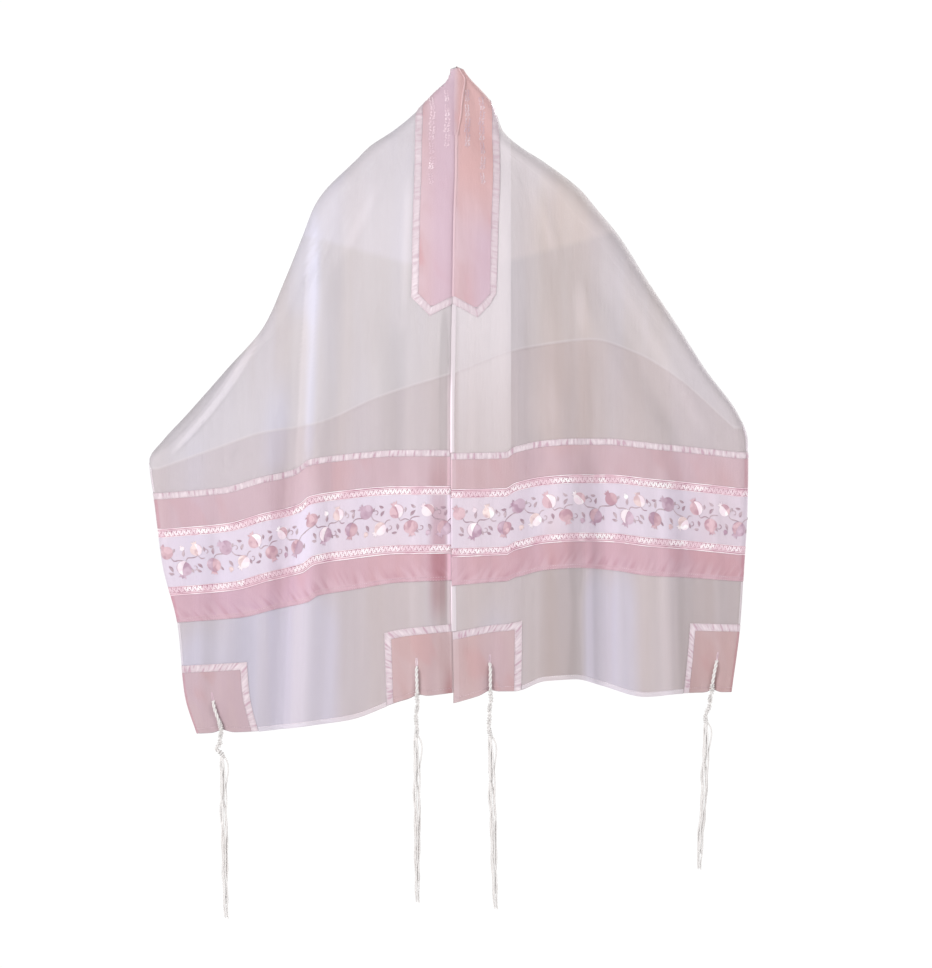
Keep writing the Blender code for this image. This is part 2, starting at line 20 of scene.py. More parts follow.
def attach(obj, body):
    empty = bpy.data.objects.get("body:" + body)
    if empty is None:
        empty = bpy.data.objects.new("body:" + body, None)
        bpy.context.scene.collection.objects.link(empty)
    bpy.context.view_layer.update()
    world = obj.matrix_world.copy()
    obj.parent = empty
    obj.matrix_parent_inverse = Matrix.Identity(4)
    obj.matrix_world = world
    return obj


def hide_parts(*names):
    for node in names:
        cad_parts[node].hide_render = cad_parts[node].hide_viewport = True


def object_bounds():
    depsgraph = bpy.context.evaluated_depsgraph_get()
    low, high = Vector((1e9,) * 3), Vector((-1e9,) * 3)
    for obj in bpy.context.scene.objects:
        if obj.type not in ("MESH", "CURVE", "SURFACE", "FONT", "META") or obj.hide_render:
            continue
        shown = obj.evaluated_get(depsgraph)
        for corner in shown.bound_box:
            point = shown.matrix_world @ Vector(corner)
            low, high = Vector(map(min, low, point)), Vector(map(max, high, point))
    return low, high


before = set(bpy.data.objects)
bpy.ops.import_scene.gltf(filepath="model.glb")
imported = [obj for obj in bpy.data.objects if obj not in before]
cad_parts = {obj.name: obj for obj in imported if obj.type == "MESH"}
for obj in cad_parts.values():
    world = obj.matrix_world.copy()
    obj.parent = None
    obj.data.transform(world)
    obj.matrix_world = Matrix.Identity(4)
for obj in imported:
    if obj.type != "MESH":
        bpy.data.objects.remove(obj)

bl_info = {
    "name": "Tallit prayer shawl",
    "version": (1, 0, 0),
    "blender": (4, 5, 0),
    "location": "View3D > Sidebar > Tallit",
    "description": "Sews the visible cloth, bands, embroidery and tassels of a tallit over its solid frame",
    "category": "Object",
}

MM = 0.001
CAD_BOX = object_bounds()
SIDES = ((-1, "left"), (1, "right"))

# Cut of the shawl
SHAWL_WIDTH = 0.500
NECK_TO_HEM = 0.965
NECK_TO_FOLD_END = 0.555
PEAK_HEIGHT = 0.012
BACK_MIDDLE_X = 0.003

# Heights over the middle of the cloth
CLOTH_UNDER, CLOTH_OVER = -0.0001, 0.0004
LAID_UNDER, LAID_OVER = 0.0010, 0.0014
CORD_FOOT = 0.0013
SEAM_GAP = 0.0003
EDGE_INSET = 0.0006

# Bands across each end of the shawl: how far down each one starts, and the hem side of the last
Band = namedtuple("Band", "name fabric top bottom")
BANDS = (
    Band("band_ribbon", "satin", 0.593, 0.603),
    Band("upper_pink_band", "voile", 0.603, 0.648),
    Band("upper_trim", "braid", 0.648, 0.662),
    Band("embroidered_band", "lawn", 0.662, 0.738),
    Band("lower_trim", "braid", 0.738, 0.752),
    Band("lower_pink_band", "lower", 0.752, 0.793),
)
SQUARE_SIDE = 0.105
SQUARE_RIBBON = 0.011

# Atarah: the collar strip along the neck edge, pointed at both ends, with a ribbon along its free edges
ATARAH_WIDTH = 0.070
ATARAH_RIBBON = 0.011
ATARAH_AT_OUTER_EDGE = 0.357
ATARAH_AT_POINT = 0.387
ATARAH_AT_NECK_EDGE = 0.366
ATARAH_POINT_ACROSS = 0.040

# Form of the drape, a row for each level: drop from the peak, reach of the left and the right fold, place of the
# front opening, reach of the front and of the back, and radius of the folds
Section = namedtuple("Section", "drop left middle right front back roll")
SECTIONS = tuple(Section(*row) for row in (
    (0, 4, 4, 10, 5, 5, 4),
    (20, 9, 5, 25, 11, 12, 6),
    (38, 28, 5, 42, 18, 20, 10),
    (57, 46, 5, 58, 24, 28, 14),
    (75, 64, 6, 66, 30, 35, 18),
    (100, 95, 6, 76, 38, 44, 24),
    (123, 130, 6, 101, 45, 52, 30),
    (146, 153, 6, 137, 52, 60, 34),
    (192, 200, 5, 197, 64, 74, 40),
    (216, 216, 4, 217, 69, 80, 40),
    (262, 234, 3, 255, 75, 86, 36),
    (331, 262, 2, 299, 80, 88, 30),
    (400, 293, 0, 345, 83, 88, 25),
    (470, 353, -1, 390, 85, 86, 21),
    (539, 414, -2, 440, 86, 82, 18),
    (578, 450, -2, 454, 86, 80, 16),
    (608, 471, -2, 454, 86, 78, 14),
    (678, 462, -2, 453, 85, 76, 12),
    (770, 450, -1, 448, 84, 76, 10),
    (862, 427, 0, 442, 82, 76, 9),
    (970, 416, 2, 428, 80, 76, 8),
    (1035, 396, 2, 420, 80, 76, 8),
))

# How far the cloth sags below its own length, at places across each panel
Sag = namedtuple("Sag", "across at_bands at_hem")
LEFT_SAG = (
    Sag(0.00, 0, 0), Sag(0.18, 0, 11), Sag(0.40, 8, 42), Sag(0.49, 15, 48), Sag(0.53, 28, 50), Sag(0.66, 42, 57),
    Sag(0.78, 57, 62), Sag(1.00, 66, 66),
)
RIGHT_SAG = (
    Sag(0.00, 5, 17), Sag(0.19, 3, -1), Sag(0.22, -5, -1), Sag(0.33, -15, -17), Sag(0.44, -18, -20),
    Sag(0.54, -18, -9), Sag(0.70, -11, 8), Sag(0.82, -6, 4), Sag(1.00, 3, 2),
)
SAG_STARTS = 0.15
SAG_BANDS = 0.56
SAG_LEAVES_BANDS = 0.70

# Hem of the back: its drop at places from a fold's end to the middle of the back
BACK_HEM_MIDDLE = 473
BackHem = namedtuple("BackHem", "across left right")
BACK_HEM = (
    BackHem(0.00, 600, 577), BackHem(0.20, 572, 497), BackHem(0.35, 552, 455), BackHem(0.52, 543, 431),
    BackHem(0.75, 504, 440), BackHem(1.00, BACK_HEM_MIDDLE, BACK_HEM_MIDDLE),
)

# The lower cloth is spread flat near the corner squares and gathered between them: how far its places move, in
# parts of the front run, away from both ends and towards the outer one
Spread = namedtuple("Spread", "both outward")
SPREADS = {-1: Spread(0.046, 0.0), 1: Spread(0.0, 0.045)}
SPREAD_STARTS, SPREAD_FULL = 0.600, 0.860

# Soft folds: place across from X = 0 at the top and at the foot, levels where the fold starts and ends, half of
# its width, how far it stands out of the cloth, or into it where negative, and how far it bends aside halfway
Fold = namedtuple("Fold", "top_x foot_x top foot half_width rise bend", defaults=(0,))


def folds(*rows):
    return tuple(Fold(*row) for row in rows)


FRONT_FOLDS = folds(
    (-200, -238, 230, 1100, 42, 16), (-240, -272, 430, 1100, 36, -9), (-300, -330, 500, 1100, 50, 11),
    (-110, -115, 260, 1100, 60, -9), (-45, -50, 560, 1100, 45, 7), (86, 88, 110, 640, 30, 3),
    (135, 128, 320, 1100, 42, -6), (163, 172, 430, 1100, 52, 12), (222, 226, 560, 1100, 32, -15),
    (290, 315, 480, 1100, 55, 12), (360, 385, 560, 1100, 32, -8),
)
BACK_FOLDS = folds(
    (-150, -345, 240, 640, 48, 13), (-110, -258, 240, 620, 46, -14), (-75, -168, 220, 600, 50, 16),
    (-36, -84, 220, 590, 44, -15), (0, 4, 200, 590, 48, 18), (40, 92, 220, 590, 44, -15), (75, 172, 220, 560, 48, 16),
    (112, 250, 240, 540, 44, -14), (150, 335, 240, 560, 50, 13),
)
# Smaller creases of the same kinds, which the soft cloth has between and on its folds
FRONT_CREASES = folds(
    (-214, -258, 200, 1100, 13, 3.2), (-280, -456, 350, 620, 11, 4.6, 26), (-300, -482, 350, 620, 17, -6.0, 26),
    (-310, -352, 520, 640, 14, -3.0), (-60, -66, 330, 1100, 16, 1.0), (-84, -96, 420, 900, 16, -0.5),
    (-128, -140, 420, 1100, 22, 1.0), (-158, -176, 300, 1000, 18, -0.8), (-280, -300, 640, 1100, 24, 1.0),
    (-318, -345, 600, 1100, 26, -1.4), (-348, -372, 620, 1100, 18, 1.2), (-390, -396, 600, 1100, 20, 1.4),
    (-84, -190, 120, 330, 22, 1.6), (-66, -80, 100, 420, 16, 2.0), (-100, -124, 150, 480, 18, -0.4),
    (-140, -220, 170, 360, 16, -1.0), (-22, -26, 400, 1100, 12, -1.2), (30, 34, 420, 1100, 15, 1.2),
    (60, 58, 640, 1100, 14, -1.2), (118, 116, 700, 1100, 18, 1.4), (148, 152, 300, 700, 18, 1.4),
    (188, 190, 640, 1100, 14, -2.4), (206, 212, 640, 1100, 11, 3.2), (205, 405, 240, 600, 30, 1.8),
    (178, 350, 260, 600, 28, -1.4), (150, 290, 280, 560, 30, 1.2), (262, 285, 560, 1100, 20, -1.6),
    (318, 335, 520, 1100, 18, 2.0), (345, 362, 600, 1100, 16, -1.6), (398, 412, 560, 1000, 16, 2.0),
    (110, 170, 140, 330, 18, 1.6),
)
BACK_CREASES = folds(
    (-128, -300, 260, 640, 15, 3.0), (-168, -390, 300, 650, 14, -3.2), (-94, -215, 200, 600, 13, -2.6),
    (-60, -130, 160, 560, 12, 2.8), (-50, -104, 300, 620, 15, -2.8), (-20, -46, 150, 590, 13, 2.6),
    (-10, -18, 330, 600, 10, -2.2), (16, 40, 140, 590, 14, -3.0), (26, 66, 300, 600, 11, 2.6),
    (56, 132, 170, 590, 14, 3.0), (68, 150, 330, 580, 12, -2.4), (94, 212, 200, 560, 13, 2.8),
    (128, 296, 240, 550, 15, -3.0), (140, 318, 330, 560, 10, 2.2), (176, 392, 280, 570, 16, 3.0),
    (-30, -66, 60, 230, 9, 2.0), (2, 4, 50, 240, 10, -2.2), (30, 60, 60, 230, 9, 2.0),
)
# Broad stretches of painted light and painted shade on the front, in the same columns, with the tone in place of the
# rise
FRONT_PAINTED_SHADING = folds(
    (-306, -500, 350, 620, 24, -1.2, 26), (-214, -244, 240, 640, 11, 0.7), (-186, -200, 300, 640, 22, -0.5),
    (-238, -256, 560, 1150, 32, 0.8), (-385, -372, 640, 1150, 62, -1.1), (-90, -90, 330, 660, 46, -0.5),
    (-150, -150, 660, 1150, 50, -0.4), (130, 138, 500, 660, 46, -0.8), (158, 158, 640, 1150, 46, -1.2),
    (196, 198, 240, 640, 20, 0.5), (240, 244, 600, 1150, 60, 0.5), (300, 330, 470, 640, 60, -0.6),
    (398, 404, 600, 1150, 80, -1.4), (-15, -13, 340, 1180, 10, -2.4), (-314, -322, 760, 1180, 34, -0.9),
    (186, 187, 840, 1180, 17, -1.1), (187, 190, 560, 830, 15, -1.3),
)
# Where the front gets a painted tint of bluish light, or of olive and warm light where negative, in the same columns
FRONT_HUES = folds(
    (-214, -218, 760, 1180, 66, 1.15), (-288, -294, 760, 1180, 70, 1.15), (-232, -236, 70, 420, 46, 0.5),
    (-212, -224, 200, 640, 16, 0.7), (-392, -392, 840, 1200, 60, 1.2), (-262, -280, 430, 660, 40, 0.6),
    (-226, -240, 600, 860, 36, 0.7), (-98, -98, 640, 1180, 90, -1.0), (-350, -356, 700, 1180, 56, 0.5),
    (-400, -400, 500, 1180, 40, 0.35), (-40, -44, 380, 620, 60, -0.3), (215, 217, 720, 1180, 30, 1.1),
    (256, 262, 720, 1180, 44, 1.1), (160, 160, 620, 1180, 42, -1.1), (402, 406, 560, 1180, 70, -1.0),
    (160, 170, 130, 620, 100, -1.0), (60, 64, 780, 1180, 52, 0.6),
)
FOLD_GROWS_OVER = 120
FREE_EDGE_SWEEP = 45
ROLL_SHARE = 0.03
FOLDS_LEAVE_ROLL = 0.07

# Beside its front edge the right panel lies in a flat pleat: how far it stands forward, and its outer edge
PLEAT_DEPTH = 0.0014
PLEAT_EDGE = 0.088
PLEAT_SOFTNESS = 0.0045
PLEAT_TOP, PLEAT_FULL = 0.130, 0.300
PLEAT_FADES, PLEAT_ENDS = 0.590, 0.730

# The right front edge laps over the left one below the peak, and stands in front of it
FRONT_EDGE_GAP = 0.0008
FRONT_EDGE_LAP = 0.0030
FRONT_LAP_DEPTH = 0.0016
LAP_STARTS, LAP_FULL = 0.0, 0.060
LAP_RUN = 0.09

# Rows and columns of the finished cloth
ROWS_ABOVE = np.concatenate(([0.003, 0.007, 0.012, 0.018], np.linspace(0.025, NECK_TO_FOLD_END, 71)))
ROWS_BELOW = np.linspace(NECK_TO_FOLD_END, NECK_TO_HEM, 55)[1:]
FRONT_RUNS = np.linspace(0, 1, 112)
ROLL_STEPS = 6
ROLL_TURNS = np.linspace(0, 2, 2 * ROLL_STEPS + 1)[1:]
BACK_INWARDS = np.linspace(0, 1, 67)[1:]
LEAST_WIDENING = 0.7
EVEN_STARTS = 0.40
SLOPE_REACH = 0.004

# Distances between the rows of points on sewn pieces, and between the points along sewn lines
BAND_STEP, SQUARE_STEP, RIBBON_STEP, MITRED_STEP = 0.006, 0.005, 0.0024, 0.0026
SEAM_STEP, NECK_SEAM_STEP, EYELET_STEP = 0.005, 0.006, 0.0012

# Height over the back's hem from which the front counts as wholly doubled
DOUBLED = 0.05

# Rise of a crease, and of a soft fold, at which its painted crest light is palest
CREST_RISE = 3.0
SOFT_CREST_RISE = 40.0

# Hems, and the neck edge turned over beside the peak
HEM_WIDTH = 0.0075
HEM_HEIGHT = 0.0009
HEM_UNDER = 0.0006
HEM_OVERHANG = 0.0008
FLAP_STARTS = 0.004
FLAP_ENDS = 0.108
FLAP_WIDTH = 0.011
FLAP_NARROWEST = 0.0014
FLAP_HEIGHT = 0.0034
FLAP_RIM = 0.0030

# Tassels in millimetres, as in the frame: place of the eyelet, length of the wound cord and of the free strands,
# and sideways lean of both; kink is how far the cord bends aside over its last knots
Tassel = namedtuple("Tassel", "name side across down cord strands cord_lean strand_lean kink")
TASSELS = (
    Tassel("tassel_left_outer", -1, 452, 914, 92, 250, -4, 6, 6),
    Tassel("tassel_left_inner", -1, 56, 916, 112, 256, -1, 2, 1),
    Tassel("tassel_right_inner", 1, 56, 916, 120, 265, -2, 8, 2),
    Tassel("tassel_right_outer", 1, 455, 914, 103, 226, -10, -11, 1),
)
# How a cord draws up the hem, in metres like all that follows: its reach to both sides and above it, the lift and
# the pucker
PULL_REACH, PULL_ABOVE, PULL_LIFT, PULL_PUCKER = 0.010, 0.012, 0.0045, 0.0020
# Wound cord: its radius and that of its knots, its least height over the cloth, and its plies
CORD_RADIUS, KNOT_RADIUS, CORD_SEAT = 0.0024, 0.0036, 0.0024
PLY_RADIUS, PLY_OFFSET = 0.0015, 0.0013
# Knots: the first one's place and the distance to the next in parts of the cord, turns, and radii of the winding
KNOTS, FIRST_KNOT, NEXT_KNOT = 4, 0.47, 0.155
KNOT_TURNS, WINDING_RADIUS, WINDING_OFFSET, WINDING_SWELL = 4, 0.00095, 0.0029, 0.0004
# Free strands: the shortest one's part of the longest, how they spread and sway, and the loop that one of them makes
STRANDS, SHORTEST_STRAND = 8, 0.86
STRAND_SPREAD, STRAND_SWAY, LOOP_SIZE = 0.0112, 0.0026, 0.0050


# ---------------------------------------------------------------- drape

class Curve:
    """A smooth curve through a table's rows, which never overshoots them."""

    def __init__(self, rows, key, column):
        self.x = np.array([getattr(row, key) for row in rows], float)
        self.y = np.array([getattr(row, column) for row in rows], float)
        slopes = np.diff(self.y) / np.diff(self.x)
        before, after = slopes[:-1], slopes[1:]
        turning = before * after <= 0
        inner = np.where(turning, 0.0, 2 * before * after / np.where(turning, 1.0, before + after))
        self.tangent = np.concatenate(([slopes[0]], inner, [slopes[-1]]))

    def __call__(self, at):
        at = np.clip(at, self.x[0], self.x[-1])
        i = np.clip(np.searchsorted(self.x, at, side="right") - 1, 0, len(self.x) - 2)
        width = self.x[i + 1] - self.x[i]
        t = (at - self.x[i]) / width
        return (self.y[i] * (1 + 2 * t) * (1 - t) ** 2 + self.y[i + 1] * t * t * (3 - 2 * t)
                + width * (self.tangent[i] * t * (1 - t) ** 2 - self.tangent[i + 1] * t * t * (1 - t)))


SECTION = {column: Curve(SECTIONS, "drop", column) for column in Section._fields[1:]}
SAGS = {
    side: tuple(Curve(rows, "across", column) for column in ("at_bands", "at_hem"))
    for side, rows in ((-1, LEFT_SAG), (1, RIGHT_SAG))
}
HEMS = {side: Curve(BACK_HEM, "across", name) for side, name in SIDES}


def section(column, drop):
    return SECTION[column](drop / MM) * MM


def reach(side, drop):
    return section(dict(SIDES)[side], drop)


def ramp(start, end, value):
    """Rises smoothly from 0 at start to 1 at end."""
    t = np.clip((value - start) / (end - start), 0.0, 1.0)
    return t * t * (3 - 2 * t)


def relief(folds, x, drop):
    """How far the soft folds of one face stand out at each place."""
    total = 0.0
    level = drop / MM
    for fold in folds:
        down = np.clip((level - fold.top) / (fold.foot - fold.top), 0, 1)
        middle = fold.top_x + (fold.foot_x - fold.top_x) * down + fold.bend * np.sin(np.pi * down)
        away = np.clip(np.abs(x / MM - middle) / fold.half_width, 0, 1)
        grown = ramp(fold.top, fold.top + FOLD_GROWS_OVER, level)
        grown = grown * ramp(fold.foot, fold.foot - FOLD_GROWS_OVER / 2, level)
        total = total + fold.rise * grown * np.cos(away * np.pi / 2) ** 2
    return total * MM


def front_drop(side, down, run):
    """Drop from the peak of places in a front panel: their length down the cloth and the panel's sag."""
    at_bands, at_hem = (curve(run) * MM for curve in SAGS[side])
    sag = at_bands + (at_hem - at_bands) * ramp(SAG_LEAVES_BANDS, NECK_TO_HEM, down)
    return down + sag * ramp(SAG_STARTS, SAG_BANDS, down)


def roll_sweep(down):
    """Angle through which the outer roll turns before it reaches the widest place."""
    return np.radians(90 + (FREE_EDGE_SWEEP - 90) * ramp(NECK_TO_FOLD_END, NECK_TO_HEM, down))


def stacked(*parts):
    """Points from arrays of their coordinates, which are spread over each other's rows and columns."""
    return np.stack(np.broadcast_arrays(*parts), axis=-1)


def pulled(side, down, run):
    """How far the tassels' cords draw up the hem under them, and how far the cloth puckers out beside them."""
    lift, pucker = 0.0, 0.0
    across = run * (1 - ROLL_SHARE) * SHAWL_WIDTH
    for tassel in TASSELS:
        if tassel.side == side:
            away = (across - tassel.across * MM) / PULL_REACH
            below = ramp(tassel.down * MM - PULL_ABOVE, NECK_TO_HEM, down)
            lift = lift + PULL_LIFT * np.exp(-away ** 2) * below
            pucker = pucker + PULL_PUCKER * np.exp(-(away / 1.8) ** 2) * np.cos(away * 2.4) * below
    return lift, pucker


def pleated(x, drop):
    """1 on the right panel's flat pleat and 0 off it."""
    inside = ramp(PLEAT_EDGE + PLEAT_SOFTNESS, PLEAT_EDGE - PLEAT_SOFTNESS, x) * ramp(-0.004, 0.004, x)
    return inside * ramp(PLEAT_TOP, PLEAT_FULL, drop) * ramp(PLEAT_ENDS, PLEAT_FADES, drop)


def spread(side, down, run):
    """Where places of the front run hang between its two ends: the corners lie flatter than the folds between."""
    both, outward = SPREADS[side]
    shift = both * np.sin(2 * np.pi * run) + outward * np.sin(np.pi * run)
    return run + shift * ramp(SPREAD_STARTS, SPREAD_FULL, down)


def front_places(side, down, run):
    """Places on the front run: `down` along the neck edge, and `run` of the way to the outer roll."""
    lift, pucker = pulled(side, down, run)
    run = spread(side, down, run)
    drop = front_drop(side, down, run)
    roll = section("roll", drop)
    lapped = ramp(LAP_STARTS, LAP_FULL, down)
    gap = FRONT_EDGE_GAP - (FRONT_EDGE_GAP + FRONT_EDGE_LAP) * lapped
    first = section("middle", drop) + side * gap
    last = side * (reach(side, drop) - roll * np.sin(roll_sweep(down)))
    x = first + (last - first) * run
    y = -roll - (section("front", drop) - roll) * (0.5 + 0.5 * np.cos(np.pi * run))
    stands = relief(FRONT_FOLDS + FRONT_CREASES, x, drop) * (1 - ramp(1 - FOLDS_LEAVE_ROLL, 1, run))
    lap = side * FRONT_LAP_DEPTH * lapped * (1 - ramp(0, LAP_RUN, run))
    pleat = PLEAT_DEPTH * pleated(x, drop) if side > 0 else 0.0
    return stacked(x, y - stands - lap - pleat + pucker, PEAK_HEIGHT - drop + lift)


def roll_places(side, down, turned):
    """Places on the outer roll: turned goes from 0 at the front, through 1 at the widest place, to 2 behind."""
    drop = front_drop(side, down, 1)
    roll = section("roll", drop)
    sweep = roll_sweep(down)
    angle = sweep * turned
    x = side * (reach(side, drop) - roll * (np.sin(sweep) - np.sin(angle)))
    return stacked(x, -roll * np.cos(angle), PEAK_HEIGHT - drop)


def back_places(side, down, inward):
    """Places on the back, `inward` of the way from the roll to the middle of the back."""
    at_fold = front_drop(side, down, 1)
    share = down / NECK_TO_FOLD_END
    first = getattr(BACK_HEM[0], dict(SIDES)[side])
    straight = first * (1 - inward) + BACK_HEM_MIDDLE * inward
    drop = (at_fold * (1 - inward) + BACK_HEM_MIDDLE * MM * share * inward
            + (HEMS[side](inward) - straight) * MM * share ** 2)
    roll = section("roll", at_fold)
    x = side * (reach(side, at_fold) - roll) * (1 - inward) + BACK_MIDDLE_X * inward
    y = roll + (section("back", drop) - roll) * (0.5 - 0.5 * np.cos(np.pi * inward))
    stands = relief(BACK_FOLDS + BACK_CREASES, x, drop) * ramp(0, FOLDS_LEAVE_ROLL, inward)
    return stacked(x, y + stands, PEAK_HEIGHT - drop)


def lengths_along(places):
    steps = np.linalg.norm(np.diff(places, axis=1), axis=2)
    return np.concatenate((np.zeros((len(places), 1)), np.cumsum(steps, axis=1)), axis=1)


def grid_faces(ids):
    """Triangles between the rows and columns of a grid of point numbers."""
    a, b, c, d = ids[:-1, :-1], ids[1:, :-1], ids[1:, 1:], ids[:-1, 1:]
    return np.concatenate([np.stack(corners, axis=-1).reshape(-1, 3) for corners in ((a, b, c), (a, c, d))])


def turned_outward(flat, faces):
    """The same faces, each turned so that it runs counter-clockwise in the flat pattern."""
    a, b, c = (flat[faces[:, k], :2] for k in range(3))
    area = (b[:, 0] - a[:, 0]) * (c[:, 1] - a[:, 1]) - (b[:, 1] - a[:, 1]) * (c[:, 0] - a[:, 0])
    return np.where(area[:, None] < 0, faces[:, ::-1], faces)


class Shawl:
    """The whole cloth as one open sheet: flat pattern, place on the drape and outward direction of each point."""

    def __init__(self):
        front_columns = len(FRONT_RUNS) + ROLL_STEPS
        peak = np.array([[section("middle", 0.0), 0, PEAK_HEIGHT]])
        places, flats, faces = [peak], [np.zeros((1, 2))], []

        def add(grid, flat):
            """Adds a grid of points, and returns their numbers."""
            first = sum(len(part) for part in places)
            places.append(grid.reshape(-1, 3))
            flats.append(flat.reshape(-1, 2))
            return first + np.arange(len(places[-1])).reshape(grid.shape[:2])

        middle = None
        shares = np.concatenate((FRONT_RUNS * (1 - ROLL_SHARE), 1 - ROLL_SHARE * (1 - ROLL_TURNS[:ROLL_STEPS])))
        down, lower_down = ROWS_ABOVE[:, None], ROWS_BELOW[:, None]
        for side, _ in SIDES:
            above = np.concatenate((front_places(side, down, FRONT_RUNS), roll_places(side, down, ROLL_TURNS),
                                    back_places(side, down, BACK_INWARDS)), axis=1)
            lengths = lengths_along(above)
            to_fold = lengths[:, front_columns - 1:front_columns]
            whole = to_fold * (1 + (SHAWL_WIDTH / to_fold[-1] - 1) * down / NECK_TO_FOLD_END)
            whole = np.minimum(whole, SHAWL_WIDTH - (NECK_TO_FOLD_END - down) * LEAST_WIDENING)
            even = ramp(EVEN_STARTS, NECK_TO_FOLD_END, down)
            across = whole * (even * shares + (1 - even) * lengths[:, :front_columns] / to_fold)
            behind = (lengths[:, front_columns:] - to_fold) / (lengths[:, -1:] - to_fold)
            flat = np.concatenate((stacked(side * down, across), stacked(side * down * (1 - behind), whole)), axis=1)
            if middle is None:
                ids = add(above, flat)
                middle = ids[:, -1:]
            else:
                ids = np.concatenate((add(above[:, :-1], flat[:, :-1]), middle), axis=1)
            tip = np.stack((np.zeros(ids.shape[1] - 1, int), ids[0, :-1], ids[0, 1:]), axis=-1)
            below = np.concatenate((front_places(side, lower_down, FRONT_RUNS),
                                    roll_places(side, lower_down, ROLL_TURNS[:ROLL_STEPS])), axis=1)
            lower_ids = add(below, stacked(side * lower_down, shares * SHAWL_WIDTH))
            lower_ids = np.concatenate((ids[-1:, :front_columns], lower_ids))
            faces += [tip, grid_faces(ids), grid_faces(lower_ids)]
        self.place = np.concatenate(places)
        self.flat = np.concatenate(flats)
        self.faces = turned_outward(self.flat, np.concatenate(faces))
        self.outward = point_normals(self.place, self.faces)
        self.columns = shares * SHAWL_WIDTH
        self.tree = BVHTree.FromPolygons([(s, a, 0.0) for s, a in self.flat], self.faces.tolist())

    def under(self, flat):
        """Place and outward direction under points of the flat pattern."""
        found = np.array([self.tree.find_nearest((s, a, 0.0))[2] for s, a in flat])
        corners = self.faces[found]
        a, b, c = (self.flat[corners[:, k]] for k in range(3))
        whole = cross_2d(b - a, c - a)
        weight_b = np.clip(cross_2d(flat - a, c - a) / whole, 0, 1)
        weight_c = np.clip(cross_2d(b - a, flat - a) / whole, 0, 1)
        weights = np.stack((1 - weight_b - weight_c, weight_b, weight_c), axis=1)[:, :, None]
        return (self.place[corners] * weights).sum(axis=1), unit((self.outward[corners] * weights).sum(axis=1))

    def lay(self, points):
        """Lays points of the flat pattern, each with its height, on the drape; past an edge they follow its slope."""
        limits = np.array([NECK_TO_HEM, SHAWL_WIDTH])
        inside = np.clip(points[:, :2], (-NECK_TO_HEM, 0), limits)
        place, outward = self.under(inside)
        for axis in (0, 1):
            over = points[:, axis] - inside[:, axis]
            past = np.abs(over) > 1e-7
            if past.any():
                probe = inside[past].copy()
                probe[:, axis] -= np.sign(over[past]) * SLOPE_REACH
                place[past] += unit(place[past] - self.under(probe)[0]) * np.abs(over[past])[:, None]
        return place + outward * points[:, 2:3]


def unit(vectors):
    return vectors / np.linalg.norm(vectors, axis=1, keepdims=True)


def cross_2d(a, b):
    return a[:, 0] * b[:, 1] - a[:, 1] * b[:, 0]


def point_normals(places, faces):
    a, b, c = (places[faces[:, k]] for k in range(3))
    facing = np.cross(b - a, c - a)
    normals = np.zeros_like(places)
    for k in range(3):
        np.add.at(normals, faces[:, k], facing)
    return normals / np.maximum(np.linalg.norm(normals, axis=1, keepdims=True), 1e-12)


@lru_cache(maxsize=1)
def shawl():
    return Shawl()


# ---------------------------------------------------------------- meshes

def new_object(name, verts, faces=(), sharp_degrees=None):
    """A linked object with a mesh of its own, smooth where sharp_degrees are given."""
    mesh = bpy.data.meshes.new(name)
    mesh.from_pydata(verts, [], faces)
    if sharp_degrees:
        mesh.shade_smooth()
        mesh.set_sharp_from_angle(angle=math.radians(sharp_degrees))
    made = bpy.data.objects.new(name, mesh)
    bpy.context.scene.collection.objects.link(made)
    return made


def link_mesh(name, verts, faces, material, flat=None, sharp_degrees=40):
    """An object with the material; flat gives each point's place in the pattern, for the weave."""
    made = new_object(name, verts.tolist(), faces, sharp_degrees)
    made.data.materials.append(material)
    if flat is not None:
        set_cut(made.data, flat)
        # The crest numbers say where the materials paint light and shade of folds, and the hue numbers where they paint
        # cool and warm light
        set_number(made.data, "crest", crests(verts))
        set_number(made.data, "hue", hues(verts))
    return made


def set_cut(mesh, flat):
    cut = mesh.attributes.new("cut", "FLOAT_VECTOR", "POINT")
    spots = np.zeros((len(flat), 3), np.float32)
    spots[:, :2] = np.asarray(flat)[:, :2]
    cut.data.foreach_set("vector", spots.ravel())


def set_number(mesh, name, values):
    mesh.attributes.new(name, "FLOAT", "POINT").data.foreach_set("value", np.asarray(values, np.float32))


def crests(places):
    """How far each place is up a crease's crest, where above 0, or down in its trough.

    On the front the broad tones are added. The materials paint light and shade from these numbers.
    """
    x, drop = places[:, 0], PEAK_HEIGHT - places[:, 2]
    front, behind = (
        relief(creases, x, drop) / MM / CREST_RISE + relief(folds, x, drop) / MM / SOFT_CREST_RISE
        for creases, folds in ((FRONT_CREASES, FRONT_FOLDS), (BACK_CREASES, BACK_FOLDS)))
    return np.where(places[:, 1] < 0, front + relief(FRONT_PAINTED_SHADING, x, drop) / MM, behind)


def hues(places):
    """How bluish the painted light on the cloth is at each place, or how warm where below 0."""
    return np.where(places[:, 1] < 0, relief(FRONT_HUES, places[:, 0], PEAK_HEIGHT - places[:, 2]) / MM, 0)


def shell_faces(faces, count):
    """Faces of a closed shell: the sheet, its turned copy `count` points further on, and the wall round its edge."""
    edges = np.concatenate([faces[:, [k, (k + 1) % 3]] for k in range(3)]).astype(np.int64)
    forward, backward = edges @ (count, 1), edges @ (1, count)
    rim = edges[~np.isin(forward, backward)]
    wall = np.stack((rim[:, 1], rim[:, 0], rim[:, 0] + count, rim[:, 1] + count), axis=1)
    return faces.tolist() + (faces[:, ::-1] + count).tolist() + wall.tolist()


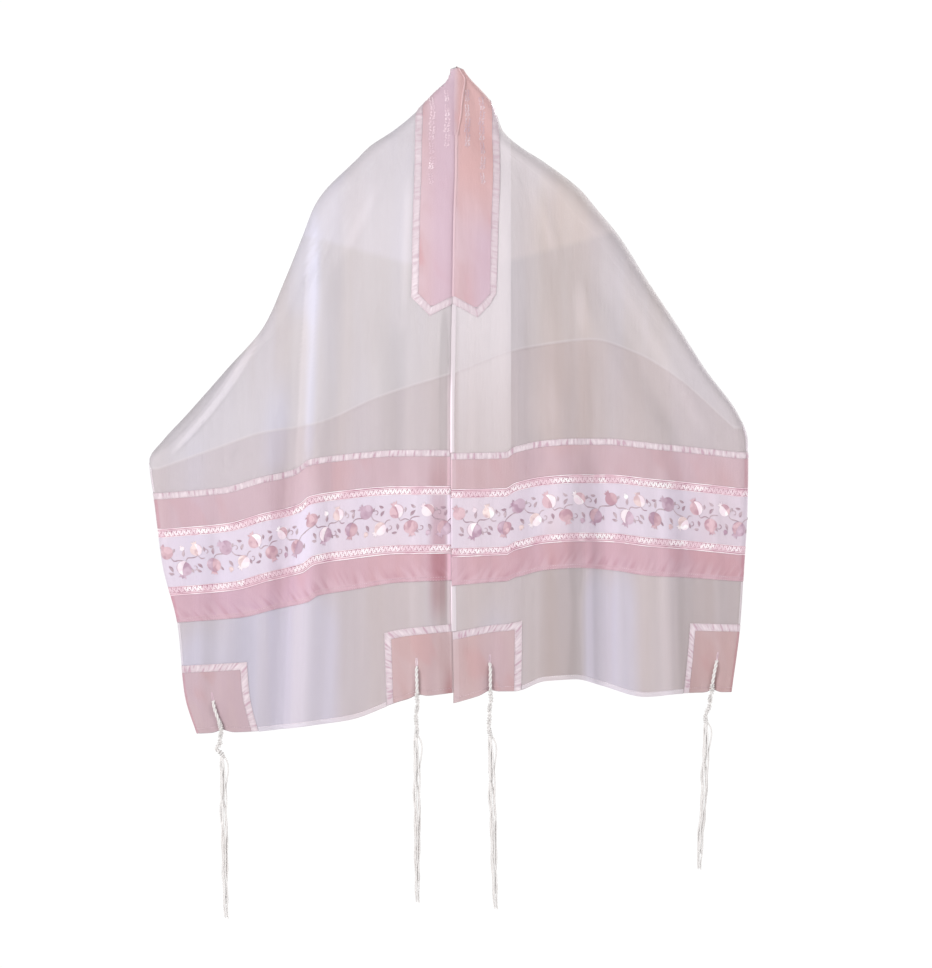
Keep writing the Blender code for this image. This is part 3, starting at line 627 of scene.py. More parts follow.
def laid_shell(name, flat, faces, material, rise=0.0, cut=None):
    """A flat piece of cloth laid on the drape as a thin closed shell.

    Rise lifts its points further, and cut gives its own coordinates, where they aren't the shawl's.
    """
    faces = turned_outward(flat, faces)
    rise = np.zeros(len(flat)) + rise
    verts = shawl().lay(np.concatenate([np.column_stack((flat, rise + face)) for face in (LAID_OVER, LAID_UNDER)]))
    cut = flat if cut is None else cut
    return link_mesh(name, verts, shell_faces(faces, len(flat)), material, np.concatenate((cut, cut)))


def gridded(grid):
    """The points of a grid as one list, and the triangles between its rows and columns."""
    return grid.reshape(-1, grid.shape[-1]), grid_faces(np.arange(grid[..., 0].size).reshape(grid.shape[:2]))


def flat_grid(first, second):
    """A grid in the flat pattern from its places along the neck edge and across."""
    return gridded(stacked(first[:, None], second))


def rows_between(start, end, step):
    return np.linspace(start, end, max(2, int(round(abs(end - start) / step)) + 1))


def columns_between(start, end, split=1):
    """Places across a front panel: the cloth's own columns between two edges, each split in equal parts."""
    inner = shawl().columns
    inner = inner[(inner > start + 0.001) & (inner < end - 0.001)]
    marks = np.concatenate(([start], inner, [end]))
    parts = [np.linspace(a, b, split, endpoint=False) for a, b in zip(marks, marks[1:])]
    return np.concatenate(parts + [[end]])


def sewn_line(corners, step, outline):
    """A closed tube along a line whose corners stay sharp, with the same outline of (offset, height) all along."""
    points = [np.array(corners[0], float)]
    for start, end in zip(corners, corners[1:]):
        start, end = np.array(start, float), np.array(end, float)
        count = max(1, int(round(np.linalg.norm(end - start) / step)))
        points += [start + (end - start) * k / count for k in range(1, count + 1)]
    return swept(np.array(points), np.repeat(np.array(outline, float)[None], len(points), axis=0))


def left_of(points):
    """Direction to the left of a path at each point, lengthened at corners so that offset lines stay parallel."""
    steps = unit(np.diff(points, axis=0))
    normals = np.column_stack((-steps[:, 1], steps[:, 0]))
    before = np.concatenate((normals[:1], normals))
    after = np.concatenate((normals, normals[-1:]))
    middle = before + after
    return middle / np.maximum(0.5 * (middle ** 2).sum(axis=1, keepdims=True), 0.2)


def swept(points, sections):
    """Closed tubes in the flat pattern: a section of (offset to the left, height) at each point of a path."""
    sideways = left_of(points)
    count, sides = sections.shape[:2]
    spots = points[:, None, :] + sideways[:, None, :] * sections[:, :, :1]
    verts = np.concatenate((spots, sections[:, :, 1:]), axis=2).reshape(-1, 3)
    ids = np.arange(count * sides).reshape(count, sides)
    beside = np.roll(ids, -1, axis=1)
    around = np.stack((ids[:-1], ids[1:], beside[1:], beside[:-1]), axis=-1).reshape(-1, 4)
    return verts, around.tolist() + [ids[0].tolist(), ids[-1, ::-1].tolist()]


def joined(parts):
    """Points and faces of several closed pieces as one mesh."""
    starts = np.cumsum([0] + [len(verts) for verts, _ in parts]).tolist()
    faces = [[start + corner for corner in face] for start, (_, faces) in zip(starts, parts) for face in faces]
    return np.concatenate([verts for verts, _ in parts]), faces


def laid_sweeps(name, sweeps, material):
    """Several tubes of the flat pattern laid on the drape as one mesh."""
    verts, faces = joined(sweeps)
    return link_mesh(name, shawl().lay(verts), faces, material, verts, sharp_degrees=60)


def oval(width, under, over, sides=8):
    """A rounded flat section: its width, and how far it reaches under and over the middle of the cloth."""
    angles = np.arange(sides) * 2 * np.pi / sides
    middle, half = (over + under) / 2, (over - under) / 2
    spread = np.sign(np.cos(angles)) * np.abs(np.cos(angles)) ** 0.6
    return [(width / 2 * c, middle + half * math.sin(a)) for c, a in zip(spread, angles)]


# ---------------------------------------------------------------- node trees

class Socket:
    """An output of a node tree, with arithmetic that adds Math nodes."""

    def __init__(self, tree, socket):
        self.tree = tree
        self.socket = socket

    def math(self, operation, other=None):
        values = {"Value": self} if other is None else {"Value": self, "Value_001": other}
        return self.tree.node("ShaderNodeMath", {"operation": operation}, values)

    def __add__(self, other):
        return self.math("ADD", other)

    def __sub__(self, other):
        return self.math("SUBTRACT", other)

    def __mul__(self, other):
        return self.math("MULTIPLY", other)

    def __rsub__(self, other):
        return self.math("MULTIPLY", -1.0).math("ADD", other)

    def between(self, low, high):
        """0 below low and 1 above high, with a smooth step between them."""
        settings = {"interpolation_type": "SMOOTHSTEP", "clamp": True}
        values = {"Value": self, "From Min": low, "From Max": high}
        return self.tree.node("ShaderNodeMapRange", settings, values)

    def beneath(self, low, high):
        """1 below low and 0 above high, with a smooth step between them."""
        return 1 - self.between(low, high)

    def inside(self, rise, fall):
        """1 between two smooth steps and 0 outside them; each is given by its start and end."""
        return self.between(*rise) * self.beneath(*fall)

    def strip(self, low, high, soft=0.0004):
        """1 between two values and 0 outside them, with sharp edges."""
        return self.inside((low - soft, low + soft), (high - soft, high + soft))


class Tree:
    """A node tree that makes its nodes with one method."""

    def __init__(self, tree):
        self.tree = tree

    def node(self, kind, settings=None, values=None, output=0):
        made = self.tree.nodes.new(kind)
        for name, value in (settings or {}).items():
            setattr(made, name, value)
        for name, value in (values or {}).items():
            socket = next(s for s in made.inputs if s.identifier == name or s.name == name)
            if isinstance(value, Socket):
                self.tree.links.new(value.socket, socket)
            else:
                socket.default_value = value
        return Socket(self, made.outputs[output]) if made.outputs else None

    def mixed(self, share, first, second, blend="MIX"):
        """A colour between two others."""
        values = {"Factor_Float": share}
        for name, colour in (("A_Color", first), ("B_Color", second)):
            values[name] = colour if isinstance(colour, Socket) else (*colour, 1)
        return self.node("ShaderNodeMix", {"data_type": "RGBA", "blend_type": blend}, values, output=2)

    def scaled(self, share, colour, factors):
        """A colour which is multiplied by the factors where the share is 1."""
        return self.mixed(share, colour, factors, blend="MULTIPLY")

    def washed(self, mixed, colour, *washes):
        """Lays tints of a colour over a mix, each given by its share and its factors."""
        for share, factors in washes:
            mixed = self.mixed(share, mixed, tinted(colour, factors))
        return mixed

    def parts(self, vector):
        split = self.node("ShaderNodeSeparateXYZ", values={"Vector": vector})
        return [Socket(self, output) for output in split.socket.node.outputs]

    def vector(self, x, y, z=0.0):
        return self.node("ShaderNodeCombineXYZ", values={"X": x, "Y": y, "Z": z})

    def noise(self, x, y, z=0.0, detail=2.0):
        values = {"Vector": self.vector(x, y, z), "Scale": 1.0, "Detail": detail, "Roughness": 0.5}
        return self.node("ShaderNodeTexNoise", {"noise_dimensions": "3D"}, values)

    def place(self):
        """X, Y and Z of the place on the object."""
        return self.parts(self.node("ShaderNodeTexCoord", output=3))

    def cut(self):
        """Place in the flat pattern: along the neck edge, and across from it."""
        return self.parts(self.node("ShaderNodeAttribute", {"attribute_name": "cut"}, output=1))[:2]

    def number(self, name):
        """A number that the mesh gives at each point."""
        return self.node("ShaderNodeAttribute", {"attribute_name": name}, output=2)


def finish(name, build, **constants):
    """A material whose Principled shader gets its constants here and its patterns from build(tree)."""
    material = bpy.data.materials.new(name)
    material.use_nodes = True
    shader = material.node_tree.nodes["Principled BSDF"]
    for socket, value in constants.items():
        shader.inputs[socket.replace("_", " ")].default_value = value
    for socket, value in build(Tree(material.node_tree)).items():
        material.node_tree.links.new(value.socket, shader.inputs[socket])
    return material


def tinted(colour, factors):
    return tuple(min(1.0, part * factor) for part, factor in zip(colour, factors))


# Streaks of painted bluish light, of painted warm light, and dense ones: scale and shift of each noise, and the
# levels between which it shows
STREAKS = ((13.0, 0.0, 0.40, 0.62), (9.0, 7.3, 0.42, 0.62), (24.0, 3.7, 0.44, 0.70))


def hanging_streaks(tree):
    """Soft upright streaks that follow the hang of the cloth, from 0 to 1: of painted bluish and warm light, with the
    painted hue added, and dense ones.
    """
    x, y, z = tree.place()

    def streaks(scale, shift, low, high):
        return tree.noise(x * scale + shift, y * scale * 0.6, z * 1.1 + shift, detail=3.0).between(low, high)

    hue = tree.number("hue")
    cool, warm, dense = (streaks(*row) for row in STREAKS)
    cool = (cool * 0.22 + hue.between(0.0, 1.0) * 0.85).math("MINIMUM", 1.0)
    warm = (warm * 0.4 + (hue * -1.0).between(0.0, 1.0) * 0.7).math("MINIMUM", 1.0)
    return cool, warm, dense


def painted_fold_shading(tree, colour, light=1.15, dark=0.86):
    """A colour with painted light along the crests of creases and painted shade in their troughs.

    It also gets the painted shading beside the opening.
    """
    crest = tree.number("crest")
    for height, factor in ((crest, light), (crest * -1.0, dark)):
        colour = tree.scaled(height.between(0.15, 1.0), colour, (factor,) * 3)
    return painted_opening_shading(tree, colour)


# Zones beside the opening: painted shadow of the lapping right panel at the bands and at the hem, and a paler strip
# along the edge, partly its doubled edge and partly painted light. Each one's start and end in X, its start and end in
# Z, all of them soft, and its factors
OPENING_SHADING_ZONES = (
    (((-0.045, -0.027), (-0.016, -0.008)), ((-0.87, -0.80), (-0.74, -0.56)), (0.80, 0.60, 0.62)),
    (((-0.022, -0.006), (-0.0035, -0.0025)), ((-1.50, -1.40), (-0.96, -0.90)), (0.76, 0.55, 0.55)),
    (((-0.0115, -0.0090), (-0.0030, -0.0025)), ((-0.87, -0.84), (-0.50, -0.44)), (1.36, 1.32, 1.36)),
)


def painted_opening_shading(tree, colour):
    """Painted shadow, deeper and redder, on the left panel where it turns in under the lapping right panel.

    Along its edge a paler strip, partly the doubled edge and partly painted light.
    """
    x, y, z = tree.place()
    front = y.beneath(-0.060, -0.045)
    for across, level, factors in OPENING_SHADING_ZONES:
        colour = tree.scaled(x.inside(*across) * z.inside(*level) * front, colour, factors)
    return colour


SLUBS = 0.25


def weave_height(tree, pitch):
    """Height of a plain weave of the given thread pitch, in parts of a thread, read from the pattern's cut."""
    along, across = tree.cut()
    warp, weft = ((part * (2 * math.pi / pitch)).math("SINE") for part in (along, across))
    return warp * weft * 0.5 + tree.noise(along * 40.0, across * 900.0) * SLUBS


def bumped(tree, height, distance, strength=1.0, onto=None):
    values = {"Height": height, "Distance": distance, "Strength": strength}
    if onto:
        values["Normal"] = onto
    return tree.node("ShaderNodeBump", values=values)


def woven_bump(tree, weave, strength, wrinkled):
    """The bump of a weave, on that of the small hanging wrinkles of thin cloth."""
    x, y, z = tree.place()
    wrinkles = bumped(tree, tree.noise(x * 60.0, y * 60.0, z * 9.0, detail=3.0), 0.004, wrinkled)
    return bumped(tree, weave, 0.0003, strength, onto=wrinkles)


# Factors of the looks of the cloth: LAVENDER and WARM tint it with painted cool and warm light, SHOULDER and
# LEFT_SHOULDER paint paler light on the shoulders, the left a little cooler
LAVENDER = (1.05, 1.14, 1.36)
WARM = (0.92, 0.855, 0.805)
DENSE = (1.12, 1.13, 1.13)
DEEP = (0.86, 0.80, 0.84)
PLEATED = (1.28, 1.28, 1.30)
SEAMED = (1.14, 1.14, 1.14)
SHOULDER = (1.10, 1.09, 1.07)
LEFT_SHOULDER = (0.97, 0.99, 1.04)
# Level of the shoulders' painted paler light at X = 0, and how it climbs outwards
SHOULDER_LEVEL = -0.315
SHOULDER_SLOPE = 0.28
# Level above which a pink piece is part of the atarah
ATARAH_FOOT = (-0.46, -0.44)
TURNED_IN = (0.0085, 0.0095)


def sheer_material(settings):
    """Sheer chiffon: grey white with streaks of painted lavender and warm light, lighter where a second layer lies
    behind.

    It has painted light and shade along its folds, and painted light on the shoulders.
    """
    def build(tree):
        cool, warm, dense = hanging_streaks(tree)
        single, double = tuple(settings.sheer_colour), tuple(settings.doubled_colour)
        behind = tree.number("behind")
        doubled = behind.between(-0.0012, 0.0012)
        seam = behind.math("ABSOLUTE").beneath(0.0006, 0.0034)
        x, y, z = tree.place()
        # A broad stretch of painted warm light over the middle and the right, on top of the warm streaks
        warm = (warm * 0.8 + x.between(-0.12, 0.36) * 0.45).math("MINIMUM", 1.0)
        pale = tree.mixed(doubled, single, double)
        for share, factors in ((warm, WARM), (cool * 0.8, LAVENDER), (dense * 0.25, DENSE)):
            pale = tree.mixed(share, pale, tree.mixed(doubled, tinted(single, factors), tinted(double, factors)))
        # Painted paler light on the shoulders, above a line that climbs outwards, a little cooler on the left
        shoulders = (z - x.math("ABSOLUTE") * SHOULDER_SLOPE).between(SHOULDER_LEVEL - 0.006, SHOULDER_LEVEL + 0.008)
        pale = tree.scaled(shoulders, painted_fold_shading(tree, pale), SHOULDER)
        pale = tree.scaled(shoulders * x.beneath(-0.06, 0.06), pale, LEFT_SHOULDER)
        pleat = (x.inside((0.002, 0.010), (PLEAT_EDGE - 0.0012, PLEAT_EDGE + 0.0004)) * y.beneath(-0.020, -0.010)
                 * (z.between(-0.60, -0.30) * 0.7 + 0.3) * z.between(-PLEAT_ENDS, -PLEAT_FADES))
        pale = tree.washed(pale, double, (seam * 0.45 * (1 - pleat), SEAMED), (pleat * 0.75, PLEATED))
        down, across = tree.cut()
        down = down.math("ABSOLUTE")
        square = down.strip(NECK_TO_HEM - SQUARE_SIDE, NECK_TO_HEM) * (
            1 - across.strip(SQUARE_SIDE, SHAWL_WIDTH - SQUARE_SIDE))
        bands = bpy.context.scene.tallit_bands
        for share, colour in ((down.strip(BANDS[0].top, BANDS[-1].bottom) * 0.5, bands.pink_colour),
                              (square * 0.5, bands.corner_colour),
                              (down.strip(BANDS[3].top, BANDS[3].bottom) * 0.6, bands.lawn_colour)):
            pale = tree.mixed(share, pale, tuple(colour))
        return {"Base Color": pale, "Roughness": cool * 0.12 + 0.56,
                "Normal": woven_bump(tree, weave_height(tree, 0.0009), 0.35, 0.45)}
    return finish("sheer_chiffon", build, Alpha=settings.sheer_opacity, Sheen_Weight=0.45, Sheen_Roughness=0.4,
                  Specular_IOR_Level=0.3)


def sheen_patches(tree, mixed, colour, sheen):
    """Soft patches of painted sheen: paler highlights, and warmer, deeper patches between them.

    Also the atarah's lilac and salmon stretches, tints of painted cool and warm light, and the squares' turned edges.
    """
    x, y, z = tree.place()
    patches = tree.noise(x * 21.0 + z * 7.0, y * 20.0, z * 9.0)
    high = z.between(*ATARAH_FOOT)
    lilac = x.inside((-0.050, -0.020), (-0.002, 0.003)) + x.between(0.008, 0.048) * z.beneath(-0.27, -0.20)
    salmon = x.between(0.001, 0.010) * z.between(-0.26, -0.14)
    mixed = tree.washed(mixed, colour, (patches.between(0.46, 0.62) * sheen, (1.07, 1.13, 1.15)),
                        ((1 - patches).between(0.55, 0.68) * sheen, (1.02, 0.86, 0.84)),
                        (lilac * high * (sheen * 0.9), (1.0, 1.05, 1.17)), (salmon * sheen, (1.13, 0.98, 0.88)))
    across = tree.cut()[1]
    mixed = tree.scaled(across.beneath(*TURNED_IN) * (1 - high) * 0.7, mixed, (1.08, 1.14, 1.15))
    return tree.scaled((SHAWL_WIDTH - across).beneath(*TURNED_IN), mixed, (0.99, 0.84, 0.87))


def pucker_shaded_hem(tree, mixed, colour, hem):
    """Painted light and shade of puckers over a band's lower edge, whose level in the cut is given, and its paler
    doubled cloth.
    """
    down, across = tree.cut()
    down = down.math("ABSOLUTE")
    puckers = tree.noise(across * 95.0 + down * 60.0, down * 22.0, detail=1.0)
    depth = down.between(hem - 0.034, hem - 0.004) * 0.6
    return tree.washed(mixed, colour, (puckers.between(0.48, 0.60) * depth, (1.16, 1.26, 1.26)),
                       ((1 - puckers).between(0.52, 0.64) * depth, (0.88, 0.78, 0.80)),
                       (down.between(hem - 0.0085, hem - 0.0070) * 0.5, (1.12, 1.18, 1.18)))


def voile_material(name, colour, opacity=1.0, pitch=0.0008, streaks=1.0, sheen=0.0, hem=0.0):
    """Fine woven voile in one colour, with the hanging streaks of painted cool and warm light and dense ones.

    It has painted light and shade along its folds; where set, painted patches of sheen, or a hem with painted pucker
    shading.
    """
    def build(tree):
        cool, warm, dense = hanging_streaks(tree)
        mixed = tree.washed(colour, colour, (warm * streaks, (1.02, 0.93, 0.86)),
                            (cool * (0.8 * streaks), (1.03, 1.10, 1.26)), (dense * (0.4 * streaks), (1.10, 1.14, 1.14)))
        if sheen:
            mixed = sheen_patches(tree, mixed, colour, sheen)
        if hem:
            mixed = pucker_shaded_hem(tree, mixed, colour, hem)
        weave = weave_height(tree, pitch)
        # Painted light on the crests of creases and painted shade in their troughs, with the opening's painted shading
        folds = painted_fold_shading(tree, mixed, light=1.10, dark=0.92)
        return {"Base Color": tree.washed(folds, colour, (weave.between(-0.2, 0.6) * 0.10, DEEP)),
                "Roughness": weave * 0.1 + 0.55, "Normal": woven_bump(tree, weave, 0.4, 0.35)}
    return finish(name, build, Alpha=opacity, Sheen_Weight=0.3, Sheen_Roughness=0.4, Specular_IOR_Level=0.3)


def satin_material(name, colour, gloss=0.3):
    """Satin ribbon: close floats across its width, rougher in patches, with painted highlights and painted shade where
    it puckers.
    """
    def build(tree):
        along, across = tree.cut()
        puckers = tree.noise(along * 190.0, across * 45.0, detail=1.0)
        dull_and_shaded = puckers.between(0.53, 0.66)
        puckered = 0.9 - tree.place()[2].between(*ATARAH_FOOT) * 0.5
        # Painted shade on the rougher patches and painted highlights between them, weaker on the atarah
        mixed = tree.washed(colour, colour, (dull_and_shaded * puckered, (0.80, 0.62, 0.70)),
                            (puckers.beneath(0.36, 0.48) * puckered, (1.16, 1.19, 1.17)))
        floats = tree.noise(along * 2200.0, across * 2200.0, detail=1.0)
        normal = bumped(tree, floats, 0.0002, 0.25, onto=bumped(tree, puckers, 0.0012, 0.6))
        return {"Base Color": mixed, "Roughness": dull_and_shaded * 0.25 + gloss, "Normal": normal}
    return finish(name, build, Sheen_Weight=0.15, Specular_IOR_Level=0.5)


STITCH_SPACING = 0.00055


def thread_material(name, colour, roughness=0.42, darker=(0.76, 0.66, 0.72), patch=64.0):
    """Embroidery thread: fine stitches side by side, darker between them, with painted satin sheen in patches of
    painted shade and painted glints.
    """
    def build(tree):
        x, y, z = (part * patch for part in tree.place())
        stitches = (tree.number("thread") * (2 * math.pi / STITCH_SPACING)).math("SINE")
        patches = tree.noise(x, y, z, detail=1.0).between(0.42, 0.58)
        glints = tree.noise(x + 9.0, y, z, detail=1.0).between(0.54, 0.62)
        # Painted satin sheen: patches of painted shade and paler painted glints
        mixed = tree.washed(colour, colour, (patches * 0.8, darker), (glints * 0.7, (1.22, 1.32, 1.28)),
                            (stitches.between(-1.0, 1.0) * 0.18, (0.7, 0.66, 0.7)))
        return {"Base Color": mixed, "Roughness": patches * 0.15 + roughness,
                "Normal": bumped(tree, stitches, 0.0002, 0.5)}
    return finish(name, build, Sheen_Weight=0.15, Specular_IOR_Level=0.5)


def wool_material(name, colour):
    """Soft plied wool, a little fuzzy and uneven."""
    def build(tree):
        x, y, z = tree.place()
        fuzz = tree.noise(x * 300.0, y * 300.0, z * 60.0)
        dirt = tree.noise(x * 60.0, y * 60.0, z * 12.0).between(0.45, 0.7)
        mixed = tree.washed(colour, colour, (dirt * 0.4, (0.93, 0.90, 0.89)),
                            (fuzz.between(0.4, 0.6) * 0.10, (0.86, 0.84, 0.84)))
        return {"Base Color": mixed, "Roughness": fuzz * 0.2 + 0.7}
    return finish(name, build, Sheen_Weight=0.4, Sheen_Roughness=0.5, Specular_IOR_Level=0.2)


def floor_material(colour):
    def build(tree):
        x, y, _ = tree.place()
        return {"Base Color": tree.washed(colour, colour, (tree.noise(x * 3.0, y * 3.0) * 0.1, (0.98, 0.98, 0.98)))}
    return finish("studio_floor", build, Roughness=0.9, Specular_IOR_Level=0.1)


# ---------------------------------------------------------------- repeats

SEED = 7
MOTIF_HEIGHT = LAID_OVER + 0.00005


@lru_cache(maxsize=1)
def repeat_tree():
    """Geometry Nodes that set one small shape on each point, turned by the point's angle, and join them all."""
    group = bpy.data.node_groups.new("sewn_repeats", "GeometryNodeTree")
    sockets = (("Geometry", "NodeSocketGeometry"), ("Shape", "NodeSocketObject"), ("Uneven", "NodeSocketFloat"),
               ("Seed", "NodeSocketInt"), ("Material", "NodeSocketMaterial"))
    for name, kind in sockets:
        group.interface.new_socket(name=name, in_out="INPUT", socket_type=kind)
    group.interface.new_socket(name="Geometry", in_out="OUTPUT", socket_type="NodeSocketGeometry")
    tree = Tree(group)
    given = tree.node("NodeGroupInput").socket.node
    inputs = {output.name: Socket(tree, output) for output in given.outputs if output.name}
    angle = tree.node("GeometryNodeInputNamedAttribute", {"data_type": "FLOAT"}, {"Name": "angle"})
    uneven, seed = inputs["Uneven"], inputs["Seed"]
    shape = tree.node("GeometryNodeObjectInfo", {"transform_space": "ORIGINAL"}, {"Object": inputs["Shape"]})
    shape = Socket(tree, shape.socket.node.outputs["Geometry"])
    lean, size = (
        tree.node("FunctionNodeRandomValue", {"data_type": "FLOAT"}, {"Min_001": low, "Max_001": high, "Seed": draw},
                  output=1)
        for low, high, draw in ((uneven * -1.0, uneven, seed), (1 - uneven, uneven + 1.0, seed + 1.0)))
    placed = tree.node("GeometryNodeInstanceOnPoints", None, {
        "Points": inputs["Geometry"], "Instance": shape, "Rotation": tree.vector(0.0, 0.0, angle + lean),
        "Scale": tree.vector(size, size, 1.0)})
    joined = tree.node("GeometryNodeRealizeInstances", None, {"Geometry": placed})
    painted = tree.node("GeometryNodeSetMaterial", None, {"Geometry": joined, "Material": inputs["Material"]})
    tree.node("NodeGroupOutput", None, {"Geometry": painted})
    return group


def sewn_repeats(name, spots, angle, shape, material, uneven=0.0, height=MOTIF_HEIGHT):
    """Copies of a small shape at flat places, turned by one angle or each by its own, laid on the drape as one mesh."""
    made = new_object(name, [(s, a, height) for s, a in spots])
    set_number(made.data, "angle", np.zeros(len(spots)) + angle)
    modifier = made.modifiers.new("repeats", "NODES")
    modifier.node_group = repeat_tree()
    wanted = {"Shape": shape, "Uneven": uneven, "Seed": SEED, "Material": material}
    for item in repeat_tree().interface.items_tree:
        if item.in_out == "INPUT" and item.name in wanted:
            modifier[item.identifier] = wanted[item.name]
    graph = bpy.context.evaluated_depsgraph_get()
    graph.update()
    plain = bpy.data.meshes.new_from_object(made.evaluated_get(graph), preserve_all_data_layers=True, depsgraph=graph)
    made.modifiers.clear()
    made.data = plain
    points = np.zeros(len(plain.vertices) * 3, np.float32)
    plain.vertices.foreach_get("co", points)
    points = points.reshape(-1, 3).astype(float)
    points[:, 1] = np.clip(points[:, 1], EDGE_INSET, SHAWL_WIDTH - EDGE_INSET)
    set_cut(plain, points)
    plain.vertices.foreach_set("co", shawl().lay(points).astype(np.float32).ravel())
    plain.update()
    plain.name = name
    return made


def hidden_shape(name, thread):
    """What a thread has sewn, as a small shape for the repeats to copy. It is removed once they are made."""
    made = new_object(name, thread.verts, thread.faces, sharp_degrees=70)
    set_number(made.data, "thread", thread.across)
    made.hide_render = True
    return made


def remove_object(shape):
    bpy.data.objects.remove(shape, do_unlink=True)


# Rings of a patch, each with its size and its height, and the pairs of rings that its walls join
PATCH_RINGS = ((1, 0.2), (1, 0), (0.82, 0.72), (0.5, 0.95), (0.82, 0), (0.5, 0))
PATCH_WALLS = ((0, 2), (2, 3), (4, 1), (5, 4), (1, 0))
LINE_LEAN = 0.6


class Thread:
    """Satin stitch of one colour: raised patches and lines in millimetres, gathered into one small mesh."""

    def __init__(self):
        self.verts, self.faces, self.across = [], [], []

    def add(self, verts, faces, lean):
        start = len(self.verts)
        self.verts += [tuple(part * MM for part in vert) for vert in verts]
        self.faces += [[start + corner for corner in face] for face in faces]
        self.across += [(vert[0] * math.cos(lean) + vert[1] * math.sin(lean)) * MM for vert in verts]

    def patch(self, outline, height, lean, base=0.0):
        """A domed patch inside an outline, with a flat foot."""
        outline = np.array(outline, float)
        centre, count = outline.mean(axis=0), len(outline)
        verts = [(*(centre + (spot - centre) * size), base + height * rise)
                 for size, rise in PATCH_RINGS for spot in outline]
        top, foot = len(verts), len(verts) + 1
        verts += [(*centre, base + height), (*centre, base)]
        faces = []
        for k, n in zip(range(count), [*range(1, count), 0]):
            faces += [(one * count + k, one * count + n, other * count + n, other * count + k)
                      for one, other in PATCH_WALLS]
            faces += [(3 * count + k, 3 * count + n, top), (5 * count + k, foot, 5 * count + n)]
        self.add(verts, faces, lean)

    def line(self, points, width, height=0.55, ends=0.35):
        """A raised line along points, narrower towards both ends."""
        points = np.array(points, float)
        half = width / 2 * (ends + (1 - ends) * np.sin(np.linspace(0, 1, len(points)) * math.pi) ** 0.7)
        verts = []
        for spot, side in zip(points, left_of(points) * half[:, None]):
            verts += [(*(spot + side), 0.0), (*spot, height), (*(spot - side), 0.0)]
        last = len(verts) - 3
        faces = [(0, 2, 1), (last, last + 1, last + 2)]
        for here in range(0, last, 3):
            faces += [(here + one, here + other, here + other + 3, here + one + 3)
                      for one, other in ((0, 1), (1, 2), (2, 0))]
        self.add(verts, faces, LINE_LEAN)


def turned(points, angle, x, y):
    c, s = math.cos(angle), math.sin(angle)
    return [(x + px * c - py * s, y + px * s + py * c) for px, py in points]


def leaf_outline(length, width, bend, steps=7):
    """A pointed leaf from its stalk at (0, 0) along +X, bent to one side."""
    t = np.linspace(0, 1, steps + 1)
    half = width / 2 * np.sin(math.pi * t ** 0.85)
    lower, upper = (np.column_stack((t * length, bend * np.sin(math.pi * t) * length + side)) for side in (-half, half))
    return np.concatenate((lower, upper[-2:0:-1])).tolist()


def fruit_outline(radius):
    """A pomegranate's body, a little wider than high, with its crown's root at +Y."""
    angle = np.arange(22) * 2 * math.pi / 22
    bulge = radius * (1 + 0.05 * np.cos(2 * angle) + 0.04 * np.sin(angle))
    return np.column_stack((bulge * np.cos(angle), bulge * np.sin(angle))).tolist()


def half_moon(radius):
    """The part of the fruit's body right of a curved line, for a second colour."""
    angle = np.linspace(0, math.pi, 10)
    across, up = radius * np.sin(angle), radius * 0.98 * np.cos(angle)
    return np.column_stack((np.concatenate((across * 0.99, across[1:-1] * 0.18)),
                            np.concatenate((-up, up[1:-1])))).tolist()


def sew_fruit(body, second, x, y, radius, angle):
    """One pomegranate with its crown of three points; its right part is sewn in the second thread."""
    body.patch(turned(fruit_outline(radius), angle, x, y), height=0.8, lean=angle + 0.3)
    crown = [(-0.34, 0.92), (0.34, 0.92), (0.52, 1.42), (0.2, 1.16), (0.0, 1.5), (-0.2, 1.16), (-0.52, 1.42)]
    body.patch(turned([(px * radius, py * radius) for px, py in crown], angle, x, y), height=0.6, lean=angle)
    if second is not body:
        second.patch(turned(half_moon(radius), angle, x, y), height=0.55, lean=angle + 1.9, base=0.55)


def sew_leaf(thread, x, y, length, width, angle):
    thread.patch(turned(leaf_outline(length, width, 0.08), angle, x, y), height=0.5, lean=angle + 1.2)


REPEAT = 250.0


def bow(start, end, start_lean, end_lean, steps=12):
    """A smooth curve between two points which leaves and meets them in the given directions."""
    p0, p3 = np.array(start, float), np.array(end, float)
    p1, p2 = p0 + np.array(start_lean, float), p3 + np.array(end_lean, float)
    t = np.linspace(0, 1, steps)[:, None]
    return p0 * (1 - t) ** 3 + 3 * p1 * t * (1 - t) ** 2 + 3 * p2 * t * t * (1 - t) + p3 * t ** 3


def sew_tendril(thread, x, y, size, turn, sense=1):
    """A stalk that ends in a small curl."""
    t = np.linspace(0, 1, 14)
    reach_out = size * (1 - 0.72 * t)
    angle = turn + sense * 4.6 * t
    thread.line(np.column_stack((x + reach_out * np.cos(angle), y + reach_out * np.sin(angle))), 1.5, height=0.5)


Fruit = namedtuple("Fruit", "x y radius angle body second")
FRUITS = (
    Fruit(14.0, 13.5, 10.0, 0.62, "rose", "rose"), Fruit(37.5, -11.5, 11.4, 2.75, "lilac", "white"),
    Fruit(61.0, 15.0, 9.4, 0.20, "peach", "white"), Fruit(85.0, -9.5, 10.8, 2.95, "rose", "lilac"),
    Fruit(110.0, 14.0, 11.0, 0.95, "lilac", "lilac"), Fruit(135.0, -12.5, 10.0, 2.30, "white", "peach"),
    Fruit(160.0, 12.5, 11.2, 0.40, "rose", "white"), Fruit(184.0, -10.5, 10.6, 3.35, "rose", "rose"),
    Fruit(209.0, 14.5, 9.6, 0.75, "white", "rose"), Fruit(234.0, -12.0, 11.2, 2.60, "lilac", "rose"),
)
# Fruits beside which a small bud hangs in place of a leaf, and those after which the stalk stops short
BUDS = {1: "white", 4: "peach", 8: "lilac"}
SHORT_STALKS = (2, 5, 7)


